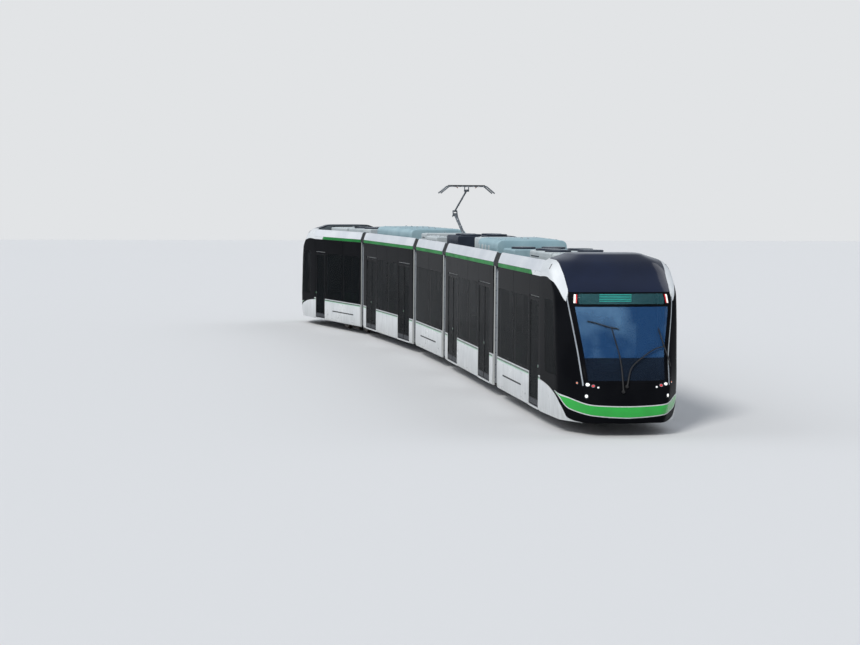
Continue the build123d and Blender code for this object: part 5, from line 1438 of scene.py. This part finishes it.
def pantograph():
    """Insulator sheds, springs, carbon strips, shunts, bolts and clamps."""
    place, inverse = MIDDLE.place, MIDDLE.place.inverted()
    slot = "pantograph_metal"
    base = Shape()
    for x in (PANTOGRAPH_X - 0.44, PANTOGRAPH_X + 0.44):
        for z in 3.185 + 0.045 * np.arange(4):
            base.lathe("ceramic", [(0.056, 0), (0.086, 0.006), (0.084, 0.014), (0.056, 0.026)],
                       (x, 0.40, z), "z", 24)
        base.lathe("silver_trim", [(0.02, 3.427), (0.018, 3.432), (0.018, 3.446), (0.01, 3.449)],
                   (x, 0.40, 0), "z", 6)
    base.tube("silver_trim", [(-1.40, 0.20, 3.452), (-0.55, 0.20, 3.452)], 0.012, 8)
    spring = [(-1.36 + 0.60 * f, 0.20 + u, 3.452 + v) for f, u, v in coil(260, 12, 0.032)]
    base.tube("pantograph_grey", spring, 0.006, 5)
    for x in (-1.37, -0.56):
        base.box("pantograph_grey", (x - 0.02, x + 0.02), (0.16, 0.24), (3.425, 3.475))
    base.mirror()
    base.build("pantograph_base_details", place, slot, MIDDLE.name)
    lift, knee, head_joint = (inverse @ joint_at["pantograph_" + joint]
                              for joint in ("lift", "knuckle", "head_pivot"))
    low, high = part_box("pantograph_head")
    tops = [inverse @ Vector((x, y, high.z)) for x in (low.x, high.x) for y in (low.y, high.y)]
    strip_x = (min(v.x for v in tops) + max(v.x for v in tops)) / 2
    top = tops[0].z
    head = Shape()
    head.tube("copper", [(strip_x - 0.15, 0.30, top - 0.03), (strip_x, 0.27, top - 0.075),
                         (strip_x + 0.15, 0.30, top - 0.03)], 0.008, 8)
    head.mirror()
    for x in (strip_x - 0.17, strip_x + 0.17):
        head.slab("carbon", [(x - 0.026, top - 0.006), (x + 0.026, top - 0.006),
                             (x + 0.020, top + 0.016), (x - 0.020, top + 0.016)], -0.52, 0.52,
                  "y", lip=0.004)
        for y in np.linspace(-0.48, 0.48, 7):
            head.box("silver_trim", (x - 0.024, x + 0.024), (y - 0.012, y + 0.012),
                     (top - 0.046, top - 0.004), 0.003)
    head.build("pantograph_head_details", place, slot, "pantograph_head")
    arms = Shape()
    arms.lathe("silver_trim", [(0.012, 0.040), (0.030, 0.044), (0.030, 0.052), (0.016, 0.058)],
               (knee.x, 0, knee.z), "y", 6)
    arms.mirror()
    ring_of_bolts(arms, "silver_trim", (lift.x, lift.z), 0.085, 0.030, 5, 0.006)
    for shape, arm, start, end, shares in (
            (arms, "pantograph_lower_arm", lift, knee, (0.25, 0.5, 0.75)),
            (Shape(), "pantograph_upper_arm", knee, head_joint, (0.30, 0.60, 0.88))):
        for share in shares:
            arm_band(shape, arm, start, end, share)
        shape.build(arm + "_details", place, slot, arm)


pantograph()


# ---------------------------------------------------------------- nodes that stay
FINISHES = {"_roof": "roof_grey", "_floor": "underframe", "_bogie": "underframe",
            "_wheelset": "wheel_paint", "_base": "pantograph_grey", "_arm": "pantograph_grey",
            "_head": "pantograph_grey", "_rod": "pantograph_grey"}
for name, node in frame["nodes"].items():
    for ending, finish in FINISHES.items():
        if name.endswith(ending):
            if not node.data.materials:
                node.data.materials.append(MATERIALS[finish])
            for k in range(len(node.data.materials)):
                node.data.materials[k] = MATERIALS[finish]


# ---------------------------------------------------------------- stage, lamps, camera
def stage_and_lamps():
    """Pale floor, a world that is plain to the camera and soft sky to the tram, three suns."""
    half = 120
    floor = bpy.data.meshes.new("floor")
    floor.from_pydata([(-half, -half, 0), (half, -half, 0), (half, half, 0), (-half, half, 0)],
                      [], [(0, 1, 2, 3)])
    m = bpy.data.materials.new("pale_floor")
    m.use_nodes = True
    tree = m.node_tree
    shader = tree.nodes["Principled BSDF"]
    speck = shader_node(tree, "TexNoise", Scale=0.6)
    ramp = shader_node(tree, "ValToRGB")
    low, high = ramp.color_ramp.elements
    low.color, high.color = srgb(219, 220, 221), srgb(225, 226, 227)
    tree.links.new(speck.outputs["Fac"], ramp.inputs["Fac"])
    tree.links.new(ramp.outputs["Color"], shader.inputs["Base Color"])
    shader.inputs["Roughness"].default_value = 0.9
    floor.materials.append(m)
    new_object("floor", floor)
    world = bpy.data.worlds.new("studio")
    bpy.context.scene.world = world
    world.use_nodes = True
    tree = world.node_tree
    sky = tree.nodes["Background"]
    sky.inputs["Color"].default_value = (0.80, 0.86, 0.95, 1)
    sky.inputs["Strength"].default_value = 0.5
    plain = shader_node(tree, "Background", Color=srgb(226, 228, 230), Strength=1.0)
    path = shader_node(tree, "LightPath")
    pick = shader_node(tree, "MixShader")
    tree.links.new(path.outputs["Is Camera Ray"], pick.inputs["Fac"])
    tree.links.new(sky.outputs[0], pick.inputs[1])
    tree.links.new(plain.outputs[0], pick.inputs[2])
    tree.links.new(pick.outputs[0], tree.nodes["World Output"].inputs["Surface"])
    for name, towards, power, spread, colour in (
            ("key", (-0.62, 0.55, -0.75), 2.0, 16, (1.0, 0.98, 0.95)),
            ("fill", (0.35, 0.80, -0.60), 0.45, 40, (0.95, 0.97, 1.0)),
            ("far", (0.20, -0.80, -0.70), 0.40, 40, (0.97, 0.98, 1.0))):
        lamp = bpy.data.lights.new(name, "SUN")
        lamp.energy, lamp.angle, lamp.color = power, radians(spread), colour
        new_object(name, lamp).rotation_euler = Vector(towards).to_track_quat("-Z", "Y").to_euler()


FOCAL_PIXELS, PHOTO_WIDTH = 1772.68, 860


def photo_camera():
    """Camera of the photograph, placed from the middle car."""
    data = bpy.data.cameras.new("camera")
    data.sensor_fit, data.sensor_width = "HORIZONTAL", 36
    data.lens = FOCAL_PIXELS / PHOTO_WIDTH * data.sensor_width
    data.clip_end = 500
    o = new_object("camera", data)
    yaw, pitch, roll = 2.94438, 0.07497, 0.00737
    ahead = Vector((cos(yaw) * cos(pitch), sin(yaw) * cos(pitch), -sin(pitch)))
    right = Vector((sin(yaw), -cos(yaw), 0))
    up = right.cross(ahead)
    right, up = cos(roll) * right + sin(roll) * up, cos(roll) * up - sin(roll) * right
    turn = MIDDLE.place.to_3x3()
    axes = [turn @ v for v in (right, up, -ahead)]
    spot = MIDDLE.place @ Vector((50.7407, -11.4113, 4.9815))
    o.matrix_world = Matrix([[a[i] for a in axes] + [spot[i]] for i in range(3)]
                            + [[0, 0, 0, 1]])
    bpy.context.scene.camera = o


bpy.context.scene.view_settings.view_transform = "Standard"
stage_and_lamps()
photo_camera()
